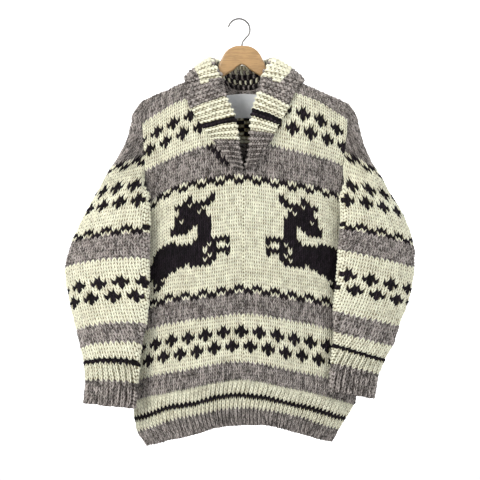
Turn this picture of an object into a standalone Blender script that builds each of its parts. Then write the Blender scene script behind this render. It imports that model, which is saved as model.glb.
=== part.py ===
"""A bulky hand-knitted pullover with a shawl collar, hanging on a wooden hanger.

The garment is made of thick knitted sheets. Each sheet is a loft: a grid of
points on its outer face, worked out from the tables below, and the inner face
one wall thickness behind it. Body panels are addressed by (stitch, row): the
stitch counts from the centre to the side, the row from the hem to the shoulder.
Sleeves are addressed by (share of the way round, row), from the cuff upwards.

Sizes are in millimetres until a mesh is made. The front faces -Y, +Z is up, and
the origin is the inside top of the hanger's hook.
"""

import math

import bpy
import numpy as np

MM = 0.001

# Driving sizes of the knitting
WALL = 5.0  # thickness of the bulky knit
SEAM = 0.3  # gap between two pieces at a seam
BAND_SEAM = 1.0  # gap between a ribbed band and the knitting that it ends
REST = 2.0  # gap under a piece that lies on another
RIB_HEIGHT = 1.8
CENTRE_X = 6.0  # the garment's centre line lies this far beside the hook's middle

# Body, in stitches from the centre and rows from the hem
SIDE_STITCH = 28
ARMHOLE_STITCH = 23
NECK_STITCH = 8.2
HEM_ROWS = 13
UNDERARM_ROW = 79
TOP_ROW = 100
SPLIT_ROW = 70.5  # the V opening starts here
NECK_SCOOP_ROWS = 8  # depth of the back neck
LAPEL_TOP_ROW = 97

# Sleeve, in rows from the cuff
CUFF_ROWS = 13
CROTCH_ROW = 64
CAP_ROW = 83
ARC_CELLS = 14  # cells round the outside of a sleeve, from seam to seam
WALL_CELLS = 6  # cells along the inner wall, which closes the ring
CUFF_RIBS = 20
CORNER = 33  # degrees round a sleeve's outline from its innermost point to its front corner
OUTERMOST = int((180 - CORNER) / 1.5)  # places on the dense outline
WALL_SHARE = 0.36  # of the way round a sleeve, along its inner wall
BODY_CLEARANCE = 3.0  # between a sleeve and the side of the body that it hangs against

# Collar
ROLL_RADIUS = 6.5
FALL_BULGE = 3.0

# Label
LABEL_THICKNESS = 1.0
LABEL_ROWS = (84.6, 88.0, 91.2)
LABEL_STITCHES = (-4, -2, 0, 2, 4)

# Hanger
WIRE_RADIUS = 2.0
HOOK_RADIUS = 22.0
WOOD_THICKNESS = 12.0
WOOD_EDGE = 4.0
ARM_HEIGHT = 25.0
ARM_CLEARANCE = WALL + 1.9

CREAM = (0.80, 0.76, 0.60)
GREY = (0.26, 0.23, 0.21)
LABEL_GREY = (0.42, 0.46, 0.50)
WOOD = (0.62, 0.36, 0.14)
STEEL = (0.55, 0.55, 0.56)


HALF_BAND_SEAM = np.array([0, 0, BAND_SEAM / 2])


def table(names, *rows):
    """The columns of a small table by name."""
    return dict(zip(names.split(), np.array(rows, float).T))


# Height of a row of stitches at stations across the body: the rows hang in an
# arch, lowest at the sides.
STATIONS = (-238, -190, -150, -100, -50, 0, 50, 100, 150, 190, 238)
ROW_LINES = table(
    "row  l238  l190  l150  l100  l50   mid   r50   r100  r150  r190  r238",
    (0, -885, -863, -849, -836, -820, -815, -815, -828, -845, -858, -878),
    (5, -842, -824, -807, -794, -783, -778, -782, -793, -811, -826, -845),
    (8.5, -815, -797, -780, -770, -756, -752, -757, -771, -784, -799, -818),
    (13, -782, -760, -750, -739, -727, -722, -728, -740, -752, -764, -784),
    (18, -742, -721, -710, -701, -690, -686, -692, -704, -716, -727, -744),
    (31, -648, -626, -614, -604, -597, -592, -596, -606, -617, -628, -648),
    (38, -598, -577, -562, -555, -548, -541, -546, -555, -564, -575, -596),
    (68, -415, -384, -354, -337, -329, -324, -331, -339, -347, -359, -385),
    (78, -335, -305, -288, -267, -254, -247, -256, -268, -280, -291, -318),
    (93, -235, -206, -181, -158, -141, -134, -138, -149, -167, -190, -222),
    (100, -181, -160, -142, -121, -101, -92, -101, -121, -142, -160, -181),
)

# How the top rows roll over the shoulder: share of the drop to row 93
ROLL_OVER = table(
    "row share", (93, 1.0), (95, 0.62), (97, 0.30), (98, 0.15), (99, 0.045), (100, 0.0)
)

# Horizontal section of the body at a row: half width, shift of its middle,
# depth to the front and back, and the two exponents of its rounding
SECTIONS = table(
    "row  half_width shift front back power fullness",
    (0, 187, -4.5, 52, 40, 2.4, 0.70),
    (5, 204, -7.0, 58, 44, 2.4, 0.70),
    (8.5, 214, -3.0, 61, 46, 2.4, 0.72),
    (13, 224, 3.0, 64, 48, 2.4, 0.75),
    (22, 227, 3.0, 66, 50, 2.4, 0.80),
    (38, 228, 3.0, 66, 50, 2.4, 0.80),
    (58, 227, 3.0, 64, 48, 2.5, 0.80),
    (70, 227, 3.0, 60, 45, 2.6, 0.75),
    (79, 231, 4.0, 52, 41, 3.0, 0.70),
    (86, 236, 5.0, 42, 36, 3.6, 0.60),
    (93, 241, 5.0, 27, 25, 4.5, 0.50),
    (95, 241, 5.0, 22, 20.5, 5.0, 0.50),
    (97, 241, 5.0, 16.5, 15.5, 5.5, 0.50),
    (98, 241, 5.0, 12.5, 12.5, 6.0, 0.45),
    (99, 241, 5.0, 7.5, 7.5, 6.0, 0.40),
    (100, 241, 5.0, 0, 0, 6.0, 0.40),
)

# Soft hanging folds of the body: place across, reach in height, width, and
# depth, which is positive where the cloth stands out
FOLDS = table(
    "face  x    low   high  width depth",
    (-1, -160, -430, -190, 15, -7),
    (-1, 181, -400, -180, 14, -6),
    (-1, -78, -860, -470, 30, 6),
    (-1, -20, -860, -560, 24, -5),
    (-1, 62, -860, -430, 34, 6),
    (-1, 128, -860, -520, 22, -5),
    (1, -110, -860, -330, 32, 6),
    (1, -30, -860, -420, 26, -6),
    (1, 70, -860, -300, 34, 6),
    (1, 150, -860, -420, 22, -6),
)

# Half the front opening, in stitches
OPENING = table(
    "row stitches", (70.5, 0.0), (71, 1.2), (74, 2.3), (77, 3.3), (82, 4.3),
    (88, 5.7), (94, 7.0), (100, NECK_STITCH),
)

# Sleeve rings: the inner edge over the body, the outer edge, and their depths,
# with the height at the inner edge, the middle of the front and the outer edge
SLEEVE_NAMES = "row x_in z_in z_mid x_out z_out y_in y_out half_depth"
SLEEVES = {
    "left": table(
        SLEEVE_NAMES,
        (0, -212, -779, -776, -316, -774, -54, -20, 18),
        (7, -208, -730, -723, -312, -728, -54, -20, 19),
        (12.5, -204, -692, -683, -316, -694, -55, -18, 21),
        (17, -199, -654, -648, -323, -666, -56, -14, 24),
        (22, -190, -614, -610, -333, -629, -57, -8, 27),
        (31, -184, -549, -547, -348, -566, -57, -4, 29),
        (40, -184, -485, -484, -357, -504, -56, 2, 30),
        (48, -183, -425, -428, -341, -444, -52, 6, 32),
        (57, -185, -355, -360, -308, -376, -38, 10, 38),
        (62, -188, -316, -322, -284, -336, -22, 8, 44),
        (64, -190, -300, -306, -275, -322, -12, 4, 46),
    ),
    "right": table(
        SLEEVE_NAMES,
        (0, 174, -745, -752, 263, -764, -58, -24, 18),
        (7, 178, -690, -699, 272, -715, -58, -24, 19),
        (12.5, 181, -653, -669, 286, -686, -58, -20, 21),
        (17, 182, -627, -643, 302, -659, -58, -15, 24),
        (22, 181, -587, -601, 316, -619, -58, -9, 27),
        (31, 186, -528, -543, 337, -562, -58, -4, 29),
        (40, 191, -465, -482, 348, -502, -56, 2, 30),
        (48, 195, -418, -429, 346, -452, -52, 6, 32),
        (57, 196, -356, -364, 320, -384, -38, 10, 38),
        (62, 197, -318, -326, 296, -349, -22, 8, 44),
        (64, 199, -304, -312, 288, -336, -12, 4, 46),
    ),
}

# Sleeve cap above the underarm: reach and height of the outer edge, and how
# far the cap bellies forward and back of its seams
CAP_NAMES = "row x_out z_out belly"
CAPS = {
    "left": table(
        CAP_NAMES,
        (64, -277, -324, 2.20),
        (66, -268, -308, 1.80),
        (70, -248, -278, 1.15),
        (74.5, -230, -240, 0.65),
        (79, -223, -206, 0.35),
        (81.5, -216, -184, 0.20),
        (83, -204, -168, 0.10),
    ),
    "right": table(
        CAP_NAMES,
        (64, 289, -337, 2.20),
        (66, 280, -320, 1.80),
        (70, 259, -287, 1.15),
        (74.5, 242, -245, 0.65),
        (79, 234, -211, 0.35),
        (81.5, 227, -188, 0.20),
        (83, 214, -169, 0.10),
    ),
}

# Lapels: the rolled inner edge and the free outer edge, seen from the front
LAPEL_NAMES = "row roll_x roll_z edge_x edge_z"
LAPELS = {
    "left": table(
        LAPEL_NAMES,
        (71, 1, -306, -18, -301),
        (74, -5, -278, -36, -276),
        (77, -8, -254, -53, -254),
        (79, -9, -240, -63, -243),
        (82, -12, -216, -74, -228),
        (85, -18, -194, -85, -212),
        (88, -28, -172, -96, -194),
        (91, -35, -154, -105, -178),
        (94, -39, -137, -111, -158),
        (97, -41, -122, -114, -139),
    ),
    "right": table(
        LAPEL_NAMES,
        (71, 7, -306, 24, -300),
        (74, 13, -278, 44, -276),
        (77, 16, -254, 56, -254),
        (79, 17, -240, 61, -243),
        (82, 18, -216, 67, -230),
        (85, 20, -197, 74, -216),
        (88, 25, -176, 84, -200),
        (91, 32, -155, 93, -184),
        (94, 38, -137, 101, -162),
        (97, 42, -122, 111, -139),
    ),
}

# Back part of the collar, one side from the lapel to the centre back: where it
# is picked up (row of the front's neck edge, or stitch of the back's), its
# crest, and the place on the body that its free edge lies on
COLLAR_BACK = (
    # picked up       crest x, y, z     edge: face, stitch, row
    (("front", 97), (41, -23, -122), (-1, 12.9, 96.3)),
    (("front", 98.6), (48, -17, -105), (-1, 13.2, 98.0)),
    (("front", 100), (58, -3, -88), (-1, 13.5, 100)),
    (("back", 7.4), (58, 7, -83), (1, 13.3, 98.8)),
    (("back", 5.4), (52, 19, -82), (1, 12.0, 95.6)),
    (("back", 3), (32, 31, -87), (1, 7.2, 91.0)),
    (("back", 0), (0, 36, -91), (1, 0.0, 88.4)),
)

# Upper edge of the hanger's hump, from its centre outwards
HUMP = table(
    "x z", (0, -56), (17, -57.5), (29, -63), (37, -72), (43, -85), (49, -98),
    (56, -111), (66, -119),
)
UNDERSIDE = table("x z", (40, -117), (20, -104), (0, -91))
ARM_STATIONS = (90, 115, 140, 165, 182)

PANEL_COLUMNS = (0, 3, 6, 9, 12, 15, 18, 20.5, 23, 25.5, 28)
LOWER_ROWS = (13, 19, 25, 31, 38, 45, 52, 59, 65, 70.5)
UPPER_ROWS = (71, 74, 77, 79, 82, 85, 88, 91, 94, 97, 99, 100)
HEM_LEVELS = (0, 5, 8.5, 13)
RIB_FADE = (1, 1, 1, 0.15)  # the ribs flatten out where the band meets the plain knitting
SLEEVE_LEVELS = (0, 7, 13, 17, 22, 27, 31, 36, 40, 44, 48, 52.5, 57, 61)


def smooth(at, keys, values):
    """A cubic curve through (keys, values), read at the places `at`."""
    keys = np.asarray(keys, float)
    values = np.asarray(values, float)
    slopes = np.gradient(values, keys)
    at = np.clip(at, keys[0], keys[-1])
    low = np.clip(np.searchsorted(keys, at, side="right") - 1, 0, len(keys) - 2)
    step = keys[low + 1] - keys[low]
    t = (at - keys[low]) / step
    return (
        values[low] * (1 + 2 * t) * (1 - t) ** 2
        + slopes[low] * step * t * (1 - t) ** 2
        + values[low + 1] * t**2 * (3 - 2 * t)
        + slopes[low + 1] * step * t**2 * (t - 1)
    )


def read(columns, at):
    """Every column of a table at one key of its first column."""
    names = list(columns)
    return {name: float(smooth(at, columns[names[0]], columns[name])) for name in names[1:]}


def unit(vectors):
    return vectors / np.maximum(np.linalg.norm(vectors, axis=-1, keepdims=True), 1e-9)


# ---------------------------------------------------------------- body surface


def row_heights(row):
    """Heights of one row at STATIONS."""
    names = list(ROW_LINES)[1:]
    if row <= ROLL_OVER["row"][0]:
        return np.array([float(smooth(row, ROW_LINES["row"], ROW_LINES[n])) for n in names])
    low = np.array([ROW_LINES[n][-2] for n in names])
    top = np.array([ROW_LINES[n][-1] for n in names])
    return top + np.interp(row, ROLL_OVER["row"], ROLL_OVER["share"]) * (low - top)


def fold_depth(x, z, face):
    """How far the soft folds move the cloth out at (x, z)."""
    out = np.zeros_like(x)
    for side, middle, low, high, width, depth in zip(*FOLDS.values()):
        if side == face:
            along = np.clip((z - low) / (high - low), 0, 1)
            out += depth * np.sin(math.pi * along) ** 0.7 * np.exp(-(((x - middle) / width) ** 2))
    return out


def body_row(row, stitches, face):
    """Points of the body's outer face along one row; face is -1 in front, 1 behind."""
    size = read(SECTIONS, row)
    turn = np.linspace(-0.5, 0.5, 241) * math.pi
    across = np.sin(turn)
    x = size["shift"] + size["half_width"] * across
    z = smooth(x, STATIONS, row_heights(row))
    round_off = np.clip(1 - np.abs(across) ** size["power"], 0, 1) ** size["fullness"]
    y = size["front" if face < 0 else "back"] * round_off
    y = y + fold_depth(x, z, face) * np.minimum(1, y / 30)
    y = face * np.maximum(y, SEAM / 2)
    points = np.column_stack([x, y, z])
    length = np.append(0, np.cumsum(np.linalg.norm(np.diff(points, axis=0), axis=1)))
    middle, whole = length[len(length) // 2], length[-1]
    share = np.asarray(stitches, float) / SIDE_STITCH
    place = np.where(share < 0, middle * (1 + share), middle + (whole - middle) * share)
    return np.column_stack([np.interp(place, length, column) for column in points.T])


def body_normals(row, stitches, face):
    """Outward directions of the body along one row, level at the seams."""
    stitches = np.asarray(stitches, float)
    right = body_row(row, np.minimum(stitches + 0.4, SIDE_STITCH), face)
    left = body_row(row, np.maximum(stitches - 0.4, -SIDE_STITCH), face)
    above = body_row(min(row + 0.1, TOP_ROW), stitches, face)
    below = body_row(row - 0.1, stitches, face)
    out = -face * np.cross(right - left, above - below)
    if row >= TOP_ROW:
        out[:, 1] = 0
    out[np.abs(stitches) >= SIDE_STITCH, 1] = 0
    return unit(out)


def body_grid(rows, stitches_at, face):
    """Outer points and directions for rows of the body; stitches_at(row) gives the columns."""
    outer = np.array([body_row(row, stitches_at(row), face) for row in rows])
    out = np.array([body_normals(row, stitches_at(row), face) for row in rows])
    return outer, out


def find_on_front(x, z):
    """The (stitch, row) of the front at a place seen from the front."""
    stitch, row = x / 8.5, 80.0
    for _ in range(30):
        here = body_row(row, [stitch], -1)[0]
        beside = body_row(row, [stitch + 0.1], -1)[0]
        above = body_row(row + 0.1, [stitch], -1)[0]
        slope = np.array([(beside - here)[[0, 2]], (above - here)[[0, 2]]]).T / 0.1
        step = np.linalg.solve(slope, [x - here[0], z - here[2]])
        stitch, row = stitch + 0.7 * step[0], min(row + 0.7 * step[1], TOP_ROW - 1.0)
    return stitch, row


def all_columns(_row):
    side = np.array(PANEL_COLUMNS, float)
    return np.concatenate([-side[:0:-1], side])


def opening_at(row):
    return float(np.interp(row, OPENING["row"], OPENING["stitches"]))


def split_columns(row):
    """Columns of the front, with the centre one double, spread by the opening."""
    side = np.array(PANEL_COLUMNS, float)
    bend = PANEL_COLUMNS[4]
    share = np.clip(1 - side / bend, 0, 1)
    side = side + share * opening_at(row)
    return np.concatenate([-side[::-1], side])


def scooped_row(row, stitches):
    """Rows of the back dip towards the neck."""
    dip = NECK_SCOOP_ROWS * np.clip(1 - (np.asarray(stitches) / NECK_STITCH) ** 2, 0, 1)
    return row - dip * np.clip((row - 84) / (TOP_ROW - 84), 0, 1) ** 1.5


# ---------------------------------------------------------------- solids


def knit_colour(name, colour):
    material = bpy.data.materials.new(name)
    material.use_nodes = True
    shader = material.node_tree.nodes["Principled BSDF"]
    shader.inputs["Base Color"].default_value = (*colour, 1)
    shader.inputs["Roughness"].default_value = 0.95
    return material


def add_object(name, mesh, material):
    obj = bpy.data.objects.new(name, mesh)
    obj.data.materials.append(material)
    bpy.data.collections[COLLECTION].objects.link(obj)
    return obj


def add_wall(name, outer, inner, used, colour):
    """A closed sheet between two grids of points, over the cells that are used.

    Grid points that coincide become one, so a ring can close on itself.
    """
    rows, columns = outer.shape[:2]
    keys = np.round(outer.reshape(-1, 3), 3)
    _, first, index = np.unique(keys, axis=0, return_index=True, return_inverse=True)
    index = index.reshape(rows, columns)
    cells = []
    for i, j in zip(*np.nonzero(used)):
        ring = [index[i, j], index[i, j + 1], index[i + 1, j + 1], index[i + 1, j]]
        ring = [a for a, b in zip(ring, ring[1:] + ring[:1]) if a != b]
        if len(ring) > 2:
            cells.append(ring)
    edges = {edge for ring in cells for edge in zip(ring, ring[1:] + ring[:1])}
    rim = [(a, b) for a, b in edges if (b, a) not in edges]
    count = len(first)
    faces = list(cells)
    faces += [[vertex + count for vertex in reversed(ring)] for ring in cells]
    points = np.concatenate([outer.reshape(-1, 3)[first], inner.reshape(-1, 3)[first]])
    for a, b in sorted(rim):
        faces += split_quad([b, a, a + count, b + count], points)
    points = (points + [CENTRE_X, 0, 0]) * MM
    mesh = bpy.data.meshes.new(name)
    mesh.from_pydata(points.tolist(), [], [[int(v) for v in ring] for ring in faces])
    if signed_volume(mesh) < 0:
        mesh.flip_normals()
    mesh.update()
    mesh.shade_smooth()
    mesh.set_sharp_from_angle(angle=math.radians(50))
    loose = [v.index for v in mesh.vertices if v.index not in used_vertices(mesh)]
    if loose:
        drop_vertices(mesh, loose)
    return add_object(name, mesh, knit_colour(name, colour))


def split_quad(corners, points):
    """Two triangles, cut along the shorter diagonal, so that two edges sewn together match."""
    a, b, c, d = corners
    if np.linalg.norm(points[a] - points[c]) < np.linalg.norm(points[b] - points[d]):
        return [[a, b, c], [a, c, d]]
    return [[b, c, d], [b, d, a]]


def used_vertices(mesh):
    return {vertex for polygon in mesh.polygons for vertex in polygon.vertices}


def drop_vertices(mesh, loose):
    import bmesh

    shape = bmesh.new()
    shape.from_mesh(mesh)
    shape.verts.ensure_lookup_table()
    bmesh.ops.delete(shape, geom=[shape.verts[i] for i in loose], context="VERTS")
    shape.to_mesh(mesh)
    shape.free()


def signed_volume(mesh):
    mesh.calc_loop_triangles()
    total = 0.0
    for triangle in mesh.loop_triangles:
        a, b, c = (mesh.vertices[i].co for i in triangle.vertices)
        total += a.dot(b.cross(c))
    return total


def grid_normals(grid, used, outwards):
    """Even-thickness directions at grid points, from the cells round each."""
    rows, columns = grid.shape[:2]
    keys = np.round(grid.reshape(-1, 3), 3)
    _, index = np.unique(keys, axis=0, return_inverse=True)
    index = index.reshape(rows, columns)
    total = np.zeros((index.max() + 1, 3))
    found = [[] for _ in total]
    for i, j in zip(*np.nonzero(used)):
        one = grid[i + 1, j + 1] - grid[i, j]
        two = grid[i + 1, j] - grid[i, j + 1]
        face = np.cross(one, two)
        size = np.linalg.norm(face)
        if size < 1e-6:
            continue
        face = outwards * face / size
        for corner in (index[i, j], index[i, j + 1], index[i + 1, j], index[i + 1, j + 1]):
            total[corner] += face
            found[corner].append(face)
    size = np.linalg.norm(total, axis=1, keepdims=True)
    total = total / np.where(size > 0, size, 1)
    for corner, faces in enumerate(found):
        if faces:
            lean = np.mean([np.dot(face, total[corner]) for face in faces])
            total[corner] /= max(lean, 0.7)
    return total[index]


# ---------------------------------------------------------------- body panels


def lift_edge(outer, inner, edge, step):
    """Moves one edge row of a sheet, to open the gap at its seam."""
    outer[edge] += step
    inner[edge] += step


def armhole_mask(rows, columns_at):
    """Cells of a panel that are inside the armhole lines."""
    columns = np.array([columns_at(row) for row in rows])
    middle = 0.5 * (columns[:-1, :-1] + columns[:-1, 1:])
    used = np.ones(middle.shape, bool)
    above = np.array(rows[:-1]) >= UNDERARM_ROW
    used[above[:, None] & (np.abs(middle) > ARMHOLE_STITCH)] = False
    return used


def add_front():
    rows = LOWER_ROWS + UPPER_ROWS
    outer, out = body_grid(rows, split_columns, -1)
    inner = outer - WALL * out
    used = armhole_mask(rows, split_columns)
    used[:, outer.shape[1] // 2 - 1] = False
    lift_edge(outer, inner, 0, HALF_BAND_SEAM)
    add_wall("front", outer, inner, used, CREAM)


def add_back():
    rows = LOWER_ROWS + UPPER_ROWS
    columns = all_columns(0)
    outer, out = [], []
    for row in rows:
        bent = scooped_row(row, columns)
        outer.append([body_row(r, [c], 1)[0] for r, c in zip(bent, columns)])
        out.append([body_normals(r, [c], 1)[0] for r, c in zip(bent, columns)])
    outer, out = np.array(outer), np.array(out)
    inner = outer - WALL * out
    lift_edge(outer, inner, 0, HALF_BAND_SEAM)
    add_wall("back", outer, inner, armhole_mask(rows, all_columns), CREAM)


def add_hem(name, face):
    """A ribbed band: the panel's lower edge carried down, one rib to two stitches."""
    coarse = all_columns(0)
    fine = np.arange(-SIDE_STITCH, SIDE_STITCH + 1)
    outer, out = body_grid(HEM_LEVELS, all_columns, face)
    inner = outer - WALL * out

    def denser(grid):
        return np.array([[np.interp(fine, coarse, line) for line in row.T] for row in grid])

    outer, inner, out = (denser(grid).transpose(0, 2, 1) for grid in (outer, inner, out))
    ridge = 0.5 + 0.5 * np.cos(math.pi * fine)
    raised = RIB_HEIGHT * np.array(RIB_FADE)[:, None, None] * ridge[None, :, None]
    outer = outer + raised * out
    lift_edge(outer, inner, -1, -HALF_BAND_SEAM)
    used = np.ones((outer.shape[0] - 1, outer.shape[1] - 1), bool)
    add_wall(name, outer, inner, used, GREY)


# ---------------------------------------------------------------- sleeves


def body_reach(y, z, side):
    """How far the body's side reaches at depth y, near height z."""
    heights = [float(smooth(side * 210, STATIONS, row_heights(r))) for r in (20, 40, 60, 79)]
    row = float(np.interp(z, heights, (20, 40, 60, 79)))
    size = read(SECTIONS, row)
    depth = np.where(y < 0, size["front"], size["back"])
    inside = np.clip(1 - (np.abs(y) / depth) ** (1 / size["fullness"]), 0, 1)
    reach = size["half_width"] * inside ** (1 / size["power"])
    return np.where(inside > 0, side * size["shift"] + reach, 0)


def resample(points, count):
    """Points evenly spaced along a polyline."""
    length = np.append(0, np.cumsum(np.linalg.norm(np.diff(points, axis=0), axis=1)))
    place = np.linspace(0, length[-1], count)
    return np.column_stack([np.interp(place, length, column) for column in points.T])


def around(points, outermost, behind):
    """Columns round a sleeve: over the front, round the back, then along the inner wall."""
    half = ARC_CELLS // 2
    front = resample(points[: outermost + 1], half + 1)
    back = resample(points[outermost : behind + 1], half + 1)
    wall = resample(points[behind:], WALL_CELLS + 1)
    return np.concatenate([front, back[1:], wall[1:]])


def sleeve_outline(hand, row):
    """A dense closed outline of the sleeve, from the inner front corner over the front."""
    size = read(SLEEVES[hand], row)
    turn = np.radians(-CORNER - np.arange(0, 361.5, 1.5))
    across = 0.5 * (1 - np.cos(turn))
    x = size["x_in"] + (size["x_out"] - size["x_in"]) * across
    y = size["y_in"] + (size["y_out"] - size["y_in"]) * across
    y = y + size["half_depth"] * np.sin(turn)
    edge = size["z_in"] + (size["z_out"] - size["z_in"]) * across
    rise = size["z_mid"] - 0.5 * (size["z_in"] + size["z_out"])
    z = edge - rise * np.sin(turn)
    return np.column_stack([x, y, z])


def keep_clear(ring, height, side):
    """Moves a ring sideways out of the body, allowing for the chords between points."""
    halfway = 0.5 * (ring[1:, 1] + ring[:-1, 1])
    reach = body_reach(ring[:, 1], height, side)
    between = body_reach(halfway, height, side)
    before, after = np.append(between[-1], between), np.append(between, between[0])
    clear = np.maximum(reach, np.maximum(before, after)) + BODY_CLEARANCE
    ring[:, 0] = side * np.maximum(side * ring[:, 0], clear)
    return ring


def sleeve_ring(hand, row):
    """Columns of a closed ring of the sleeve, whose inner wall hangs against the body."""
    side = -1 if hand == "left" else 1
    dense = sleeve_outline(hand, row)
    length = np.append(0, np.cumsum(np.linalg.norm(np.diff(dense, axis=0), axis=1)))
    behind = int(np.searchsorted(length, (1 - WALL_SHARE) * length[-1]))
    ring = around(dense, OUTERMOST, behind)
    return keep_clear(ring, read(SLEEVES[hand], row)["z_mid"], side)


def cap_arc(hand, row, front_end, back_end):
    """An open arc of the sleeve cap between the two armhole edges."""
    size = read(CAPS[hand], row)
    turn = np.linspace(0, math.pi, 121)
    share = 0.5 * (1 - np.cos(turn))[:, None]
    arc = front_end + (back_end - front_end) * share
    middle = 0.5 * (front_end + back_end)
    out = np.sin(turn)
    arc[:, 0] += (size["x_out"] - middle[0]) * out**0.9
    arc[:, 1] += -np.cos(turn) * out * size["belly"] * 0.5 * (back_end - front_end)[1]
    arc[:, 2] += (size["z_out"] - middle[2]) * out
    half = len(turn) // 2
    front = resample(arc[: half + 1], ARC_CELLS // 2 + 1)
    back = resample(arc[half:], ARC_CELLS // 2 + 1)
    return np.concatenate([front, back[1:]])


def sleeve_row_at(body_level):
    """The sleeve row that meets a body row at the armhole."""
    share = (body_level - UNDERARM_ROW) / (TOP_ROW - UNDERARM_ROW)
    return CROTCH_ROW + share * (CAP_ROW - CROTCH_ROW)


def underarm_wall(side, row, clearance):
    """Points just outside the body's side, from the back of the arm to the front."""
    stitches = side * np.array([23, 25.5, 28])
    faces = []
    for face in (1, -1):
        reach = clearance * body_normals(row, stitches, face)
        faces.append(body_row(row, stitches, face) + reach)
    corners = np.concatenate([faces[0], faces[1][::-1][1:]])
    steps = np.linspace(0, len(corners) - 1, WALL_CELLS + 1)
    return np.column_stack([np.interp(steps, range(len(corners)), c) for c in corners.T])


def underarm_ring(hand, row):
    """The ring next below the underarm, whose inner wall follows the body's side."""
    side = -1 if hand == "left" else 1
    wall = underarm_wall(side, UNDERARM_ROW - (CROTCH_ROW - row), BODY_CLEARANCE)
    dense = keep_clear(sleeve_outline(hand, row), read(SLEEVES[hand], row)["z_mid"], side)
    back = dense[OUTERMOST:200]
    behind = OUTERMOST + int(np.argmin(np.linalg.norm(back - wall[0], axis=1)))
    ring = around(dense, OUTERMOST, behind)
    ring[0] = wall[-1]
    ring[ARC_CELLS:] = wall
    return ring


def sleeve_grid(hand):
    """Rows, outer points, directions and used cells of a whole sleeve with its cuff."""
    side = -1 if hand == "left" else 1
    whole = ARC_CELLS + WALL_CELLS
    levels = list(SLEEVE_LEVELS)
    grid = [sleeve_ring(hand, row) for row in levels[:-1]]
    grid.append(underarm_ring(hand, levels[-1]))
    ends = []
    for body_level in [row for row in UPPER_ROWS if row >= UNDERARM_ROW]:
        row = sleeve_row_at(body_level)
        seam = [body_row(body_level, [side * ARMHOLE_STITCH], face)[0] for face in (-1, 1)]
        for end in seam:
            end[0] += side * SEAM
        arc = cap_arc(hand, row, seam[0], seam[1])
        if row == CROTCH_ROW:
            wall = underarm_wall(side, UNDERARM_ROW, 5 * SEAM)
            wall[0], wall[-1] = arc[-1], arc[0]
            rest = wall[1:]
        else:
            rest = np.repeat(arc[-1:], WALL_CELLS, axis=0)
        levels.append(row)
        grid.append(np.concatenate([arc, rest]))
        ends.append([body_normals(body_level, [side * ARMHOLE_STITCH], f)[0] for f in (-1, 1)])
    grid = np.array(grid)
    used = np.ones((len(levels) - 1, whole), bool)
    used[np.array(levels[:-1]) >= CROTCH_ROW, ARC_CELLS:] = False
    out = grid_normals(grid, used, side)
    start = len(levels) - len(ends)
    for i, (front_out, back_out) in enumerate(ends, start):
        for j, body_out in ((0, front_out), (ARC_CELLS, back_out)):
            if i > start or -side * out[i, j, 0] < -side * body_out[0]:
                out[i, j] = body_out
    out[start, -1] = out[start, 0]
    out[start + 1 :, ARC_CELLS + 1 :] = out[start + 1 :, ARC_CELLS : ARC_CELLS + 1]
    return levels, grid, out, used


def add_sleeve(hand):
    levels, grid, out, used = sleeve_grid(hand)
    split = levels.index(CUFF_ROWS)
    inner = grid - WALL * out
    sleeve, lining = grid[split:].copy(), inner[split:].copy()
    lift_edge(sleeve, lining, 0, HALF_BAND_SEAM)
    add_wall(f"sleeve_{hand}", sleeve, lining, used[split:], CREAM)
    add_cuff(hand, grid[: split + 1], inner[: split + 1], out[: split + 1])


def add_cuff(hand, outer, inner, out):
    """The ribbed cuff: the sleeve's lowest rings with raised ribs."""
    columns = np.arange(outer.shape[1])
    steps = np.linalg.norm(np.diff(outer[1], axis=0), axis=1)
    length = np.append(0, np.cumsum(steps)) / steps.sum()
    creases = np.interp(np.linspace(0, 1, 2 * CUFF_RIBS + 1), length, columns)
    fine = np.unique(np.concatenate([columns, creases]).round(6))

    def denser(grid):
        return np.array([[np.interp(fine, columns, line) for line in row.T] for row in grid])

    outer, inner, out = (denser(grid).transpose(0, 2, 1) for grid in (outer, inner, out))
    share = np.interp(fine, columns, length) * CUFF_RIBS
    ridge = 1 - 2 * np.abs(share - np.round(share))
    fade = np.array(RIB_FADE[1:])[:, None, None]
    outer = outer + RIB_HEIGHT * fade * ridge[None, :, None] * unit(out)
    lift_edge(outer, inner, -1, -HALF_BAND_SEAM)
    used = np.ones((outer.shape[0] - 1, outer.shape[1] - 1), bool)
    add_wall(f"cuff_{hand}", outer, inner, used, GREY)


# ---------------------------------------------------------------- collar


def collar_section(seam, crest, fall, edge, out):
    """Outer-face points across the collar: stand, roll and fall."""
    middle = crest + ROLL_RADIUS * fall
    angles = np.radians([0, 45, 90, 135, 180])
    roll = [middle - ROLL_RADIUS * (math.cos(a) * out + math.sin(a) * fall) for a in angles]
    stand = [seam, 0.5 * (seam + roll[0])]
    shares = (0.33, 0.67)
    drop = [
        roll[-1] + (edge - roll[-1]) * s + FALL_BULGE * math.sin(math.pi * s) * out for s in shares
    ]
    return np.array(stand + roll + drop + [edge])


def collar_grid(stations):
    """The collar lofted through stations of (seam outer, seam inner, crest, edge)."""
    crests = np.array([station[2] for station in stations])
    run = np.gradient(crests, axis=0)
    grid = []
    for (seam, _, crest, edge), along in zip(stations, run):
        fall = unit(edge - crest)
        out = unit(np.cross(unit(along), fall))
        grid.append(collar_section(seam, crest, fall, edge, out))
    grid = np.array(grid)
    used = np.ones((grid.shape[0] - 1, grid.shape[1] - 1), bool)
    inner = grid - WALL * grid_normals(grid, used, -1)
    inner[:, 0] = [station[1] for station in stations]
    return grid, inner


def neck_edge(side, row):
    """The front's neck edge at a row: its point and its outward direction."""
    stitch = [side * opening_at(row)]
    return body_row(row, stitch, -1)[0], body_normals(row, stitch, -1)[0]


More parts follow.
